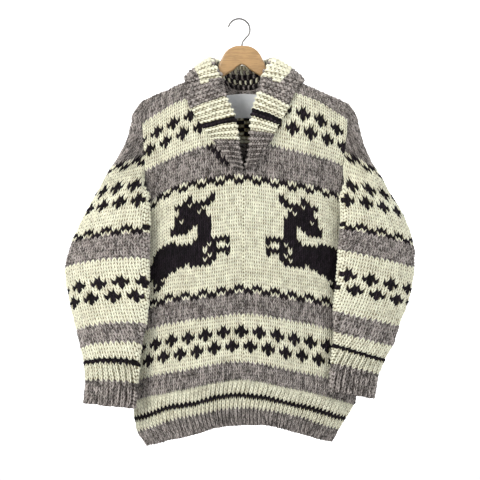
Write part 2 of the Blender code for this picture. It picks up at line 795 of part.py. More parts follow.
def picked_up(edge, out, inboard, turned):
    """Where the collar's end face starts, turned from lying in front to standing inboard."""
    seam = (1 - turned) * out * SEAM + turned * inboard * (SEAM + WALL)
    inner = (1 - turned) * out * (SEAM + WALL) + turned * inboard * SEAM
    return edge + seam, edge + inner


def lapel_stations(hand):
    side = -1 if hand == "left" else 1
    sizes = LAPELS[hand]
    stations = []
    for k, row in enumerate(sizes["row"]):
        edge, out = neck_edge(side, row)
        turned = 0.5 * max(0.0, (row - 88) / (LAPEL_TOP_ROW - 88))
        seam, inner = picked_up(edge, out, np.array([-side, 0, 0]), turned)
        crest = np.array([sizes["roll_x"][k], edge[1] - ROLL_RADIUS - REST, sizes["roll_z"][k]])
        stitch, level = find_on_front(sizes["edge_x"][k], sizes["edge_z"][k])
        free = body_row(level, [stitch], -1)[0]
        free = free + (WALL + REST) * body_normals(level, [stitch], -1)[0]
        stations.append((seam, inner, crest, free))
    return stations


def collar_back_station(side, station):
    (piece, place), crest, (face, stitch, row) = station
    if piece == "front":
        edge, out = neck_edge(side, place)
        inboard = np.array([-side, 0, 0])
        turned = float(np.interp(place, (LAPEL_TOP_ROW, TOP_ROW), (0.5, 1.0)))
        rise = 0.0
    else:
        level = float(scooped_row(TOP_ROW, place))
        edge = body_row(level, [side * place], 1)[0]
        out = body_normals(level, [side * place], 1)[0]
        lean = place / NECK_STITCH
        inboard = unit(np.array([-side * lean, -math.sqrt(1 - 0.9 * lean), 0.0]))
        turned = 1.0
        rise = 2 * SEAM
    seam, inner = picked_up(edge, out, inboard, turned)
    seam[2] += rise
    inner[2] += rise
    crest = np.array([side * crest[0], crest[1], crest[2]], float)
    free = body_row(row, [side * stitch], face)[0]
    free = free + (WALL + 1.6 * REST) * body_normals(row, [side * stitch], face)[0]
    return seam, inner, crest, free


def add_collar():
    """The whole collar in one run, cut into the two lapels and the back part."""
    lapels = {hand: lapel_stations(hand) for hand in ("left", "right")}
    left = [collar_back_station(-1, station) for station in COLLAR_BACK[1:]]
    right = [collar_back_station(1, station) for station in COLLAR_BACK[1:-1]]
    count = len(lapels["left"])
    grid, inner = collar_grid(lapels["left"] + left + right[::-1] + lapels["right"][::-1])
    joins = (count - 1, len(grid) - count)
    pieces = (
        ("lapel_left", 0, joins[0], GREY),
        ("collar_back", joins[0], joins[1], CREAM),
        ("lapel_right", joins[1], len(grid) - 1, GREY),
    )
    for name, start, stop, colour in pieces:
        face, back = grid[start : stop + 1].copy(), inner[start : stop + 1].copy()
        for edge, join, step in ((0, start, 1), (-1, stop, -1)):
            if join in joins:
                along = unit(grid[join + 1] - grid[join - 1])
                lift_edge(face, back, edge, step * SEAM * along)
        used = np.ones((face.shape[0] - 1, face.shape[1] - 1), bool)
        add_wall(name, face, back, used, colour)


def add_label():
    """A bare woven label inside the back neck."""
    columns = np.array(LABEL_STITCHES, float)
    outer, out = body_grid(LABEL_ROWS, lambda _row: columns, 1)
    behind = outer - (WALL + 0.5) * out
    front = behind - LABEL_THICKNESS * out
    used = np.ones((len(LABEL_ROWS) - 1, len(columns) - 1), bool)
    add_wall("neck_label", behind, front, used, LABEL_GREY)


# ---------------------------------------------------------------- hanger


def hanger_outline():
    """The wooden bar seen from the front, right half then left half."""
    shoulder = [ROW_LINES[name][-1] for name in list(ROW_LINES)[1:]]
    tops = [(x, float(smooth(x, STATIONS, shoulder)) - ARM_CLEARANCE) for x in ARM_STATIONS]
    end_x, end_z = tops[-1]
    cap = [(end_x + 6, end_z - 7), (end_x + 5, end_z - 13), (end_x - 3, end_z - 17)]
    lower = [(x, z - ARM_HEIGHT + 0.04 * (x - 60)) for x, z in reversed(tops[:-1])]
    right = list(zip(HUMP["x"], HUMP["z"])) + tops + cap + lower + [(66, -139)]
    right += list(zip(UNDERSIDE["x"], UNDERSIDE["z"]))
    left = [(-x, z) for x, z in reversed(right) if x > 0]
    return right + left


def add_hanger_wood():
    curve = bpy.data.curves.new("hanger_wood", "CURVE")
    curve.dimensions = "2D"
    curve.fill_mode = "BOTH"
    curve.extrude = (0.5 * WOOD_THICKNESS - WOOD_EDGE) * MM
    curve.bevel_depth = WOOD_EDGE * MM
    curve.offset = -WOOD_EDGE * MM
    curve.bevel_resolution = 1
    outline = hanger_outline()
    spline = curve.splines.new("POLY")
    spline.points.add(len(outline) - 1)
    for point, (x, z) in zip(spline.points, outline):
        point.co = ((x + CENTRE_X) * MM, z * MM, 0, 1)
    spline.use_cyclic_u = True
    obj = add_object("hanger_wood", curve, knit_colour("hanger_wood", WOOD))
    obj.rotation_euler = (math.radians(90), 0, 0)
    obj.data.materials[0].node_tree.nodes["Principled BSDF"].inputs["Roughness"].default_value = 0.35


def hook_route():
    """Centre line of the hook's wire, from its tip to the wood."""
    middle = WIRE_RADIUS - HOOK_RADIUS
    angles = np.radians(np.linspace(168, -32, 17))
    route = [(HOOK_RADIUS * math.cos(a), middle + HOOK_RADIUS * math.sin(a)) for a in angles]
    stem = table("x z", (18.7, -31.7), (12.5, -38.5), (7.6, -44.5), (6, -51), (6, -55.4))
    keys = np.arange(len(stem["x"]))
    steps = np.linspace(0, len(keys) - 1, 13)[1:]
    route += list(zip(smooth(steps, keys, stem["x"]), smooth(steps, keys, stem["z"])))
    return route


def add_hanger_hook():
    curve = bpy.data.curves.new("hanger_hook", "CURVE")
    curve.dimensions = "3D"
    curve.bevel_depth = WIRE_RADIUS * MM
    curve.bevel_resolution = 2
    curve.use_fill_caps = True
    route = hook_route()
    spline = curve.splines.new("POLY")
    spline.points.add(len(route) - 1)
    for point, (x, z) in zip(spline.points, route):
        point.co = (x * MM, 0, z * MM, 1)
    obj = add_object("hanger_hook", curve, knit_colour("hanger_hook", STEEL))
    shader = obj.data.materials[0].node_tree.nodes["Principled BSDF"]
    shader.inputs["Metallic"].default_value = 1.0
    shader.inputs["Roughness"].default_value = 0.3


COLLECTION = "cowichan sweater on a hanger"


def main():
    for obj in list(bpy.data.objects):
        bpy.data.objects.remove(obj)
    collection = bpy.data.collections.new(COLLECTION)
    bpy.context.scene.collection.children.link(collection)
    add_front()
    add_back()
    add_hem("hem_front", -1)
    add_hem("hem_back", 1)
    for hand in ("left", "right"):
        add_sleeve(hand)
    add_collar()
    add_label()
    add_hanger_wood()
    add_hanger_hook()


main()
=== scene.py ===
"""A bulky hand-knitted pullover with a shawl collar, hanging on a wooden hanger.

Every knitted piece is built stitch by stitch. Its outer face is a lattice over
(stitch, row), laid on the garment's surface, and a Geometry Nodes tree raises
the yarn from it. The inner face lies one wall thickness behind. The colour of a
stitch comes from small repeating charts.

Sizes of the garment are in millimetres until a mesh is made. The front faces -Y,
+Z is up, and the origin is the inside top of the hanger's hook.
"""

import collections
import functools
import math

import bmesh
import bpy
import numpy as np
from mathutils import Matrix, Vector


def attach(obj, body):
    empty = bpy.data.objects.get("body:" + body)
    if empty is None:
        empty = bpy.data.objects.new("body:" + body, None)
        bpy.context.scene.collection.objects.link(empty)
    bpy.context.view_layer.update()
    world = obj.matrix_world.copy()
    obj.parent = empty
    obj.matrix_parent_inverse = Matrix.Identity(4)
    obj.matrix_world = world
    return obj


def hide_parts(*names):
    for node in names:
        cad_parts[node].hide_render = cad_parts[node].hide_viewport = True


bl_info = {
    "name": "Hand-knitted Pullover",
    "version": (1, 0, 0),
    "blender": (4, 5, 0),
    "location": "View3D > Sidebar > Pullover",
    "description": "Builds a bulky patterned pullover with a shawl collar on a wooden hanger",
    "category": "Add Mesh",
}

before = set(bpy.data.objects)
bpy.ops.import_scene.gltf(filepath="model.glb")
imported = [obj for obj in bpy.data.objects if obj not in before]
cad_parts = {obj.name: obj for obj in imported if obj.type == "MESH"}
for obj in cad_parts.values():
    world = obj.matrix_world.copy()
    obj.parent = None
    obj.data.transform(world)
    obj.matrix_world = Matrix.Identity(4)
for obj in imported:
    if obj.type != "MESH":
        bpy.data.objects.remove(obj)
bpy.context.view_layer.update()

MM = 0.001

# ---------------------------------------------------------------- sizes

WALL = 5.0  # thickness of the bulky knit
SEAM = 0.3  # gap between two pieces at a seam
REST = 2.0  # gap under a piece that lies on another
CENTRE_X = 6.0  # the garment's centre line lies this far beside the hook's middle

# Body: stitches from the centre line, and rows from the hem's edge
SIDE_STITCH = 28
ARMHOLE_STITCH = 23
NECK_STITCH = 8.2
HEM_ROWS = 13
UNDERARM_ROW = 79
TOP_ROW = 100
SPLIT_ROW = 70.5  # the V opening starts here
NECK_SCOOP_ROWS = 8  # depth of the back neck
SCOOP_START = 84
LAPEL_TOP_ROW = 97
LAPEL_TURN_ROW = 88  # from here up the lapel turns from lying in front to standing
SECTION_STEPS = 241  # places along half a horizontal section
FOLD_FADE = 30.0  # folds fade out where the cloth is less deep than this

# Sleeves: rows from the cuff's edge
CUFF_ROWS = 13
CROTCH_ROW = 64
CAP_ROW = 83
ARC_CELLS = 56  # places round the outside of a sleeve, from seam to seam
WALL_CELLS = 24  # places along the inner wall, which closes the ring
CORNER = 33  # degrees round a sleeve's outline from its innermost point to its front corner
OUTLINE_STEP = 1.5  # degrees between places on the dense outline
OUTERMOST = int((180 - CORNER) / OUTLINE_STEP)
REARMOST = 200  # the inner wall below the underarm starts before this place
WALL_SHARE = 0.36  # of the way round a sleeve, along its inner wall
BODY_CLEARANCE = 3.0  # between a sleeve and the side of the body that it hangs against
EDGE_SLACK = 0.02  # of a stitch, within which a stitch ends at an edge

# Collar
ROLL_RADIUS = 6.5
FALL_BULGE = 3.0
COLLAR_STITCHES = 13
COLLAR_LOFT = 3.0  # how far the soft roll of the back collar stands off
LOFT_FADE = 6  # lines to each side of a join over which that fades
STATION_STEPS, SECTION_SPLITS = 6, 8  # steps from one station or section point to the next
EDGE_STITCHES = 4  # grey stitches along the back collar's free edge
LABEL_STITCH, LABEL_STITCHES = -4, 8  # first stitch of the label, and its width
LABEL_ROW, LABEL_ROWS = 84.6, 6.6  # the row that it starts at, and its height

# Hanger
WIRE_RADIUS = 2.0
HOOK_RADIUS = 22.0
WOOD_THICKNESS = 12.0
WOOD_EDGE = 4.0
ARM_HEIGHT = 25.0
ARM_CLEARANCE = WALL + 1.9
ARM_TAPER, TAPER_START = 0.04, 60  # the arm gets lower by this share, from this far out

# Stitches
LEG_CELLS = 6  # cells across a stitch
ROW_CELLS = 3  # cells along a stitch
LEAN = 0.95  # rows that a stitch's outer ends stand above its middle
RIB_RAISE = 1.9
HEM_RIB_RAISE = 1.1
HEM_RELIEF = 0.62  # share of the stitches' height on the hem
RIB_WARP = 0.22  # stitches that a rib draws together
RIB_STEEPNESS, RIB_DEPTH = 1.7, 1.2  # of a rib's sides, and of the groove beside it
GARTER_LINE = 5.3
GARTER_WAVE = 0.12
GARTER_SPREAD = 0.16  # rows that a ridge gains from the furrows beside it
GARTER_RIDGE, GARTER_FURROW = 1.6, 1.2  # how far ridges stand up, and furrows lie down
FIBRE = 0.0022  # height of a loose fibre before it is scaled, in metres

# Width of a sleeve's stitch, from the cuff up
SLEEVE_STITCH = {"row": (0, 13, 40, 57, 83), "width": (12.0, 12.0, 11.8, 9.6, 9.0)}


def table(names, *rows):
    """The columns of a small table by name."""
    return dict(zip(names.split(), np.array(rows, float).T))


# Height of a row of stitches at stations across the body: the rows hang in an
# arch, lowest at the sides
STATIONS = (-238, -190, -150, -100, -50, 0, 50, 100, 150, 190, 238)
ROW_LINES = table(
    "row  l238  l190  l150  l100  l50   mid   r50   r100  r150  r190  r238",
    (0, -885, -863, -849, -836, -820, -815, -815, -828, -845, -858, -878),
    (5, -842, -824, -807, -794, -783, -778, -782, -793, -811, -826, -845),
    (8.5, -815, -797, -780, -770, -756, -752, -757, -771, -784, -799, -818),
    (13, -782, -760, -750, -739, -727, -722, -728, -740, -752, -764, -784),
    (18, -742, -721, -710, -701, -690, -686, -692, -704, -716, -727, -744),
    (31, -648, -626, -614, -604, -597, -592, -596, -606, -617, -628, -648),
    (38, -598, -577, -562, -555, -548, -541, -546, -555, -564, -575, -596),
    (68, -415, -384, -354, -337, -329, -324, -331, -339, -347, -359, -385),
    (78, -335, -305, -288, -267, -254, -247, -256, -268, -280, -291, -318),
    (93, -235, -206, -181, -158, -141, -134, -138, -149, -167, -190, -222),
    (100, -181, -160, -142, -121, -101, -92, -101, -121, -142, -160, -181),
)
ROW_HEIGHTS = np.stack(list(ROW_LINES.values())[1:], axis=1)  # for each row, by station

# How the top rows roll over the shoulder: share of the drop to row 93
ROLL_OVER = table(
    "row share", (93, 1.0), (95, 0.62), (97, 0.30), (98, 0.15), (99, 0.045), (100, 0.0)
)

# Horizontal section of the body at a row: half width, shift of its middle,
# depth to the front and back, and the two exponents of its rounding
SECTIONS = table(
    "row  half_width shift front back power fullness",
    (0, 187, -4.5, 52, 40, 2.4, 0.70),
    (5, 204, -7.0, 58, 44, 2.4, 0.70),
    (8.5, 214, -3.0, 61, 46, 2.4, 0.72),
    (13, 224, 3.0, 64, 48, 2.4, 0.75),
    (22, 227, 3.0, 66, 50, 2.4, 0.80),
    (38, 228, 3.0, 66, 50, 2.4, 0.80),
    (58, 227, 3.0, 64, 48, 2.5, 0.80),
    (70, 227, 3.0, 60, 45, 2.6, 0.75),
    (79, 231, 4.0, 52, 41, 3.0, 0.70),
    (86, 236, 5.0, 42, 36, 3.6, 0.60),
    (93, 241, 5.0, 27, 25, 4.5, 0.50),
    (95, 241, 5.0, 22, 20.5, 5.0, 0.50),
    (97, 241, 5.0, 16.5, 15.5, 5.5, 0.50),
    (98, 241, 5.0, 12.5, 12.5, 6.0, 0.45),
    (99, 241, 5.0, 7.5, 7.5, 6.0, 0.40),
    (100, 241, 5.0, 0, 0, 6.0, 0.40),
)

# Soft hanging folds of the body: place across, reach in height, width, and
# depth, which is positive where the cloth stands out
FOLDS = table(
    "face  x    low   high  width depth",
    (-1, -160, -430, -190, 15, -7),
    (-1, 181, -400, -180, 14, -6),
    (-1, -78, -860, -470, 30, 6),
    (-1, -20, -860, -560, 24, -5),
    (-1, 62, -860, -430, 34, 6),
    (-1, 128, -860, -520, 22, -5),
    (1, -110, -860, -330, 32, 6),
    (1, -30, -860, -420, 26, -6),
    (1, 70, -860, -300, 34, 6),
    (1, 150, -860, -420, 22, -6),
)

# Half the front opening, in stitches
OPENING = table(
    "row stitches", (70.5, 0.0), (71, 1.2), (74, 2.3), (77, 3.3), (82, 4.3),
    (88, 5.7), (94, 7.0), (100, NECK_STITCH),
)

# Sleeve rings: the inner edge over the body, the outer edge, and their depths,
# with the height at the inner edge, the middle of the front and the outer edge
SLEEVE_NAMES = "row x_in z_in z_mid x_out z_out y_in y_out half_depth"
SLEEVES = {
    "left": table(
        SLEEVE_NAMES,
        (0, -212, -779, -776, -316, -774, -54, -20, 18),
        (7, -208, -730, -723, -312, -728, -54, -20, 19),
        (12.5, -204, -692, -683, -316, -694, -55, -18, 21),
        (17, -199, -654, -648, -323, -666, -56, -14, 24),
        (22, -190, -614, -610, -333, -629, -57, -8, 27),
        (31, -184, -549, -547, -348, -566, -57, -4, 29),
        (40, -184, -485, -484, -357, -504, -56, 2, 30),
        (48, -183, -425, -428, -341, -444, -52, 6, 32),
        (57, -185, -355, -360, -308, -376, -38, 10, 38),
        (62, -188, -316, -322, -284, -336, -22, 8, 44),
        (64, -190, -300, -306, -275, -322, -12, 4, 46),
    ),
    "right": table(
        SLEEVE_NAMES,
        (0, 174, -745, -752, 263, -764, -58, -24, 18),
        (7, 178, -690, -699, 272, -715, -58, -24, 19),
        (12.5, 181, -653, -669, 286, -686, -58, -20, 21),
        (17, 182, -627, -643, 302, -659, -58, -15, 24),
        (22, 181, -587, -601, 316, -619, -58, -9, 27),
        (31, 186, -528, -543, 337, -562, -58, -4, 29),
        (40, 191, -465, -482, 348, -502, -56, 2, 30),
        (48, 195, -418, -429, 346, -452, -52, 6, 32),
        (57, 196, -356, -364, 320, -384, -38, 10, 38),
        (62, 197, -318, -326, 296, -349, -22, 8, 44),
        (64, 199, -304, -312, 288, -336, -12, 4, 46),
    ),
}

# Sleeve cap above the underarm: reach and height of the outer edge, and how
# far the cap bellies forward and back of its seams
CAP_NAMES = "row x_out z_out belly"
CAPS = {
    "left": table(
        CAP_NAMES,
        (64, -277, -324, 2.20),
        (66, -268, -308, 1.80),
        (70, -248, -278, 1.15),
        (74.5, -230, -240, 0.65),
        (79, -223, -206, 0.35),
        (81.5, -216, -184, 0.20),
        (83, -204, -168, 0.10),
    ),
    "right": table(
        CAP_NAMES,
        (64, 289, -337, 2.20),
        (66, 280, -320, 1.80),
        (70, 259, -287, 1.15),
        (74.5, 242, -245, 0.65),
        (79, 234, -211, 0.35),
        (81.5, 227, -188, 0.20),
        (83, 214, -169, 0.10),
    ),
}

# Lapels: the rolled inner edge and the free outer edge, seen from the front
LAPEL_NAMES = "row roll_x roll_z edge_x edge_z"
LAPELS = {
    "left": table(
        LAPEL_NAMES,
        (71, 1, -306, -18, -301),
        (74, -5, -278, -36, -276),
        (77, -8, -254, -53, -254),
        (79, -9, -240, -63, -243),
        (82, -12, -216, -74, -228),
        (85, -18, -194, -85, -212),
        (88, -28, -172, -96, -194),
        (91, -35, -154, -105, -178),
        (94, -39, -137, -111, -158),
        (97, -41, -122, -114, -139),
    ),
    "right": table(
        LAPEL_NAMES,
        (71, 7, -306, 24, -300),
        (74, 13, -278, 44, -276),
        (77, 16, -254, 56, -254),
        (79, 17, -240, 61, -243),
        (82, 18, -216, 67, -230),
        (85, 20, -197, 74, -216),
        (88, 25, -176, 84, -200),
        (91, 32, -155, 93, -184),
        (94, 38, -137, 101, -162),
        (97, 42, -122, 111, -139),
    ),
}

# Back part of the collar, one side from the lapel to the centre back: where it
# is picked up (row of the front's neck edge, or stitch of the back's), its
# crest, and the place on the body that its free edge lies on
COLLAR_BACK = (
    # picked up       crest x, y, z     edge: face, stitch, row
    (("front", 98.6), (48, -17, -105), (-1, 13.2, 98.0)),
    (("front", 100), (58, -3, -88), (-1, 13.5, 100)),
    (("back", 7.4), (58, 7, -83), (1, 13.3, 98.8)),
    (("back", 5.4), (52, 19, -82), (1, 12.0, 95.6)),
    (("back", 3), (32, 31, -87), (1, 7.2, 91.0)),
    (("back", 0), (0, 36, -91), (1, 0.0, 88.4)),
)

# Hanger seen from the front, from its centre outwards: the hump's upper edge,
# the underside from the arm back in, and where the arms are set out
HUMP = table(
    "x z", (0, -52.5), (12, -53.2), (22, -56.5), (31, -63), (38, -72), (44, -85), (49.5, -98),
    (56, -111), (66, -119),
)
UNDERSIDE = table("x z", (66, -139), (40, -117), (20, -104), (0, -91))
ARM_STATIONS = (90, 115, 140, 165, 182)
ARM_END = ((6, -7), (5, -13), (-3, -17))  # rounding of the arm's end, from its last station
HOOK_STEM = table("x z", (18.7, -31.7), (12.5, -38.5), (7.6, -44.5), (6, -51), (6, -55.4))

# ---------------------------------------------------------------- the garment's shape


def smooth(at, keys, values):
    """A cubic curve through (keys, values), read at the places `at`; a value may be a grid."""
    keys = np.asarray(keys, float)
    values = np.asarray(values, float)
    slopes = np.gradient(values, keys, axis=0)
    at = np.clip(at, keys[0], keys[-1])
    low = np.clip(np.searchsorted(keys, at, side="right") - 1, 0, len(keys) - 2)
    step = keys[low + 1] - keys[low]
    t = (at - keys[low]) / step
    shape = np.shape(at) + (1,) * (values.ndim - 1)
    t, step = np.reshape(t, shape), np.reshape(step, shape)
    return (
        values[low] * (1 + 2 * t) * (1 - t) ** 2
        + slopes[low] * step * t * (1 - t) ** 2
        + values[low + 1] * t**2 * (3 - 2 * t)
        + slopes[low + 1] * step * t**2 * (t - 1)
    )


def read(columns, at):
    """Every column of a table at one key of its first column."""
    (_, keys), *others = columns.items()
    return {name: float(smooth(at, keys, column)) for name, column in others}


def unit(vectors):
    return vectors / np.maximum(np.linalg.norm(vectors, axis=-1, keepdims=True), 1e-9)


def lengths(points):
    """How far along a polyline each of its points lies."""
    return np.append(0, np.cumsum(np.linalg.norm(np.diff(points, axis=0), axis=1)))


def between(places, keys, points):
    """Places on a polyline whose own points lie at `keys`."""
    return np.column_stack([np.interp(places, keys, column) for column in points.T])


def resample(points, count):
    """Points evenly spaced along a polyline."""
    length = lengths(points)
    return between(np.linspace(0, length[-1], count), length, points)


def row_heights(row):
    """Heights of one row at STATIONS."""
    if row <= ROLL_OVER["row"][0]:
        return smooth(row, ROW_LINES["row"], ROW_HEIGHTS)
    low, top = ROW_HEIGHTS[-2:]
    return top + np.interp(row, ROLL_OVER["row"], ROLL_OVER["share"]) * (low - top)


def fold_depth(x, z, face):
    """How far the soft folds move the cloth out at (x, z)."""
    out = np.zeros_like(x)
    for side, middle, low, high, width, depth in zip(*FOLDS.values()):
        if side == face:
            along = np.clip((z - low) / (high - low), 0, 1)
            out += depth * np.sin(math.pi * along) ** 0.7 * np.exp(-(((x - middle) / width) ** 2))
    return out


def body_row(row, stitches, face):
    """Points of the body's outer face along one row; face is -1 in front, 1 behind."""
    size = read(SECTIONS, row)
    across = np.sin(np.linspace(-0.5, 0.5, SECTION_STEPS) * math.pi)
    x = size["shift"] + size["half_width"] * across
    z = smooth(x, STATIONS, row_heights(row))
    round_off = np.clip(1 - np.abs(across) ** size["power"], 0, 1) ** size["fullness"]
    y = size["front" if face < 0 else "back"] * round_off
    y = y + fold_depth(x, z, face) * np.minimum(1, y / FOLD_FADE)
    points = np.column_stack([x, face * np.maximum(y, SEAM / 2), z])
    length = lengths(points)
    middle, whole = length[len(length) // 2], length[-1]
    share = np.asarray(stitches, float) / SIDE_STITCH
    place = np.where(share < 0, middle * (1 + share), middle + (whole - middle) * share)
    return between(place, length, points)


def body_normals(row, stitches, face):
    """Outward directions of the body along one row, level at the seams."""
    stitches = np.asarray(stitches, float)
    right = body_row(row, np.minimum(stitches + 0.4, SIDE_STITCH), face)
    left = body_row(row, np.maximum(stitches - 0.4, -SIDE_STITCH), face)
    above = body_row(min(row + 0.1, TOP_ROW), stitches, face)
    below = body_row(row - 0.1, stitches, face)
    out = -face * np.cross(right - left, above - below)
    if row >= TOP_ROW:
        out[:, 1] = 0
    out[np.abs(stitches) >= SIDE_STITCH, 1] = 0
    return unit(out)


def on_body(row, stitch, face, height=0.0):
    """A place on the body, or at a height over it, and its outward direction."""
    out = body_normals(row, [stitch], face)[0]
    return body_row(row, [stitch], face)[0] + height * out, out


def find_on_front(x, z):
    """The (stitch, row) of the front at a place seen from the front."""
    stitch, row = x / 8.5, 80.0  # a first guess, which each step makes better
    for _ in range(30):
        here = body_row(row, [stitch], -1)[0]
        beside = body_row(row, [stitch + 0.1], -1)[0]
        above = body_row(row + 0.1, [stitch], -1)[0]
        slope = np.array([(beside - here)[[0, 2]], (above - here)[[0, 2]]]).T / 0.1
        step = np.linalg.solve(slope, [x - here[0], z - here[2]])
        stitch, row = stitch + 0.7 * step[0], min(row + 0.7 * step[1], TOP_ROW - 1.0)
    return stitch, row


def opening_at(row):
    """Half the front opening at a row, in stitches."""
    return np.interp(row, OPENING["row"], OPENING["stitches"])


def scooped_row(row, stitches):
    """Rows of the back dip towards the neck."""
    dip = NECK_SCOOP_ROWS * np.clip(1 - (np.asarray(stitches) / NECK_STITCH) ** 2, 0, 1)
    return row - dip * np.clip((row - SCOOP_START) / (TOP_ROW - SCOOP_START), 0, 1) ** 1.5


def body_reach(y, z, side):
    """How far the body's side reaches at depth y, near height z."""
    levels = (20, 40, 60, UNDERARM_ROW)
    heights = [float(smooth(side * 210, STATIONS, row_heights(row))) for row in levels]
    size = read(SECTIONS, float(np.interp(z, heights, levels)))
    depth = np.where(y < 0, size["front"], size["back"])
    inside = np.clip(1 - (np.abs(y) / depth) ** (1 / size["fullness"]), 0, 1)
    reach = size["half_width"] * inside ** (1 / size["power"])
    return np.where(inside > 0, side * size["shift"] + reach, 0)


def sleeve_outline(hand, row):
    """A dense closed outline of the sleeve, from the inner front corner over the front."""
    size = read(SLEEVES[hand], row)
    turn = np.radians(-CORNER - np.arange(0, 360 + OUTLINE_STEP, OUTLINE_STEP))
    across = 0.5 * (1 - np.cos(turn))
    x, y, edge = (
        size[key + "_in"] + (size[key + "_out"] - size[key + "_in"]) * across for key in "xyz"
    )
    rise = size["z_mid"] - 0.5 * (size["z_in"] + size["z_out"])
    return np.column_stack([x, y + size["half_depth"] * np.sin(turn), edge - rise * np.sin(turn)])


def even_halves(points, middle):
    """Even places along a polyline up to one of its points, and as many after it."""
    half = ARC_CELLS // 2 + 1
    after = resample(points[middle:], half)
    return np.concatenate([resample(points[: middle + 1], half), after[1:]])


def around(points, behind):
    """Columns round a sleeve: over the front, round the back, then along the inner wall."""
    wall = resample(points[behind:], WALL_CELLS + 1)
    return np.concatenate([even_halves(points[: behind + 1], OUTERMOST), wall[1:]])


def keep_clear(ring, height, side):
    """Moves a ring sideways out of the body, allowing for the chords between points."""
    halfway = 0.5 * (ring[1:, 1] + ring[:-1, 1])
    reach = body_reach(ring[:, 1], height, side)
    chords = body_reach(halfway, height, side)
    before, after = np.append(chords[-1], chords), np.append(chords, chords[0])
    clear = np.maximum(reach, np.maximum(before, after)) + BODY_CLEARANCE
    ring[:, 0] = side * np.maximum(side * ring[:, 0], clear)
    return ring


def sleeve_ring(hand, row, side):
    """Columns of a closed ring of the sleeve, whose inner wall hangs against the body."""
    dense = sleeve_outline(hand, row)
    length = lengths(dense)
    behind = int(np.searchsorted(length, (1 - WALL_SHARE) * length[-1]))
    return keep_clear(around(dense, behind), read(SLEEVES[hand], row)["z_mid"], side)


def underarm_wall(row, side, clearance):
    """Points just outside the body's side, from the back of the arm to the front."""
    stitches = side * np.linspace(ARMHOLE_STITCH, SIDE_STITCH, 3)
    back, front = (
        body_row(row, stitches, face) + clearance * body_normals(row, stitches, face)
        for face in (1, -1)
    )
    corners = np.concatenate([back, front[::-1][1:]])
    return between(np.linspace(0, 4, WALL_CELLS + 1), range(5), corners)


def underarm_ring(hand, row, side):
    """The ring next below the underarm, whose inner wall follows the body's side."""
    wall = underarm_wall(UNDERARM_ROW - (CROTCH_ROW - row), side, BODY_CLEARANCE)
    dense = keep_clear(sleeve_outline(hand, row), read(SLEEVES[hand], row)["z_mid"], side)
    back = np.linalg.norm(dense[OUTERMOST:REARMOST] - wall[0], axis=1)
    ring = around(dense, OUTERMOST + int(np.argmin(back)))
    ring[0] = wall[-1]
    ring[ARC_CELLS:] = wall
    return ring


def cap_arc(hand, row, front_end, back_end):
    """An open arc of the sleeve cap between the two armhole edges."""
    size = read(CAPS[hand], row)
    turn = np.linspace(0, math.pi, 121)
    out = np.sin(turn)
    arc = front_end + (back_end - front_end) * (0.5 * (1 - np.cos(turn)))[:, None]
    middle = 0.5 * (front_end + back_end)
    arc[:, 0] += (size["x_out"] - middle[0]) * out**0.9
    arc[:, 1] += -np.cos(turn) * out * size["belly"] * 0.5 * (back_end - front_end)[1]
    arc[:, 2] += (size["z_out"] - middle[2]) * out
    return even_halves(arc, len(turn) // 2)


def collar_section(seam, crest, fall, edge, out):
    """Outer-face points across the collar: stand, roll and fall."""
    middle = crest + ROLL_RADIUS * fall
    angles = np.radians([0, 45, 90, 135, 180])
    roll = [middle - ROLL_RADIUS * (math.cos(a) * out + math.sin(a) * fall) for a in angles]
    drop = [
        roll[-1] + (edge - roll[-1]) * share + FALL_BULGE * math.sin(math.pi * share) * out
        for share in (0.33, 0.67)
    ]
    return np.array([seam, 0.5 * (seam + roll[0]), *roll, *drop, edge])


def picked_up(edge, out, inboard, turned):
    """Where the collar's outer face starts, turned from lying in front to standing inboard."""
    return edge + (1 - turned) * out * SEAM + turned * inboard * (SEAM + WALL)


def lapel_stations(hand, side):
    """Seam, crest and free edge of a lapel at each row of its table."""
    stations = []
    for row, roll_x, roll_z, edge_x, edge_z in zip(*LAPELS[hand].values()):
        edge, out = on_body(row, side * opening_at(row), -1)
        turned = 0.5 * max(0.0, (row - LAPEL_TURN_ROW) / (LAPEL_TOP_ROW - LAPEL_TURN_ROW))
        seam = picked_up(edge, out, np.array([-side, 0, 0]), turned)
        crest = np.array([roll_x, edge[1] - ROLL_RADIUS - REST, roll_z])
        stitch, level = find_on_front(edge_x, edge_z)
        stations.append((seam, crest, on_body(level, stitch, -1, WALL + REST)[0]))
    return stations


def collar_back_station(side, station):
    """Seam, crest and free edge of the back collar at one place."""
    (piece, place), crest, (face, stitch, row) = station
    if piece == "front":
        edge, out = on_body(place, side * opening_at(place), -1)
        turned = float(np.interp(place, (LAPEL_TOP_ROW, TOP_ROW), (0.5, 1.0)))
        seam = picked_up(edge, out, np.array([-side, 0, 0]), turned)
    else:
        edge, out = on_body(float(scooped_row(TOP_ROW, place)), side * place, 1)
        lean = place / NECK_STITCH
        inboard = unit(np.array([-side * lean, -math.sqrt(1 - 0.9 * lean), 0.0]))
        seam = picked_up(edge, out, inboard, 1.0) + [0, 0, 2 * SEAM]
    crest = np.array([side * crest[0], crest[1], crest[2]], float)
    return seam, crest, on_body(row, side * stitch, face, WALL + 1.6 * REST)[0]


def mirrored(half):
    """A closed outline from its right half, which starts and ends on the centre line."""
    return half + [(-x, z) for x, z in reversed(half) if x > 0]


def hanger_outline():
    """The wooden bar seen from the front."""
    tops = [
        (x, float(smooth(x, STATIONS, ROW_HEIGHTS[-1])) - ARM_CLEARANCE) for x in ARM_STATIONS
    ]
    end = [(tops[-1][0] + x, tops[-1][1] + z) for x, z in ARM_END]
    lower = [
        (x, z - ARM_HEIGHT + ARM_TAPER * (x - TAPER_START)) for x, z in reversed(tops[:-1])
    ]
    hump, underside = (list(zip(*part.values())) for part in (HUMP, UNDERSIDE))
    return mirrored(hump + tops + end + lower + underside)


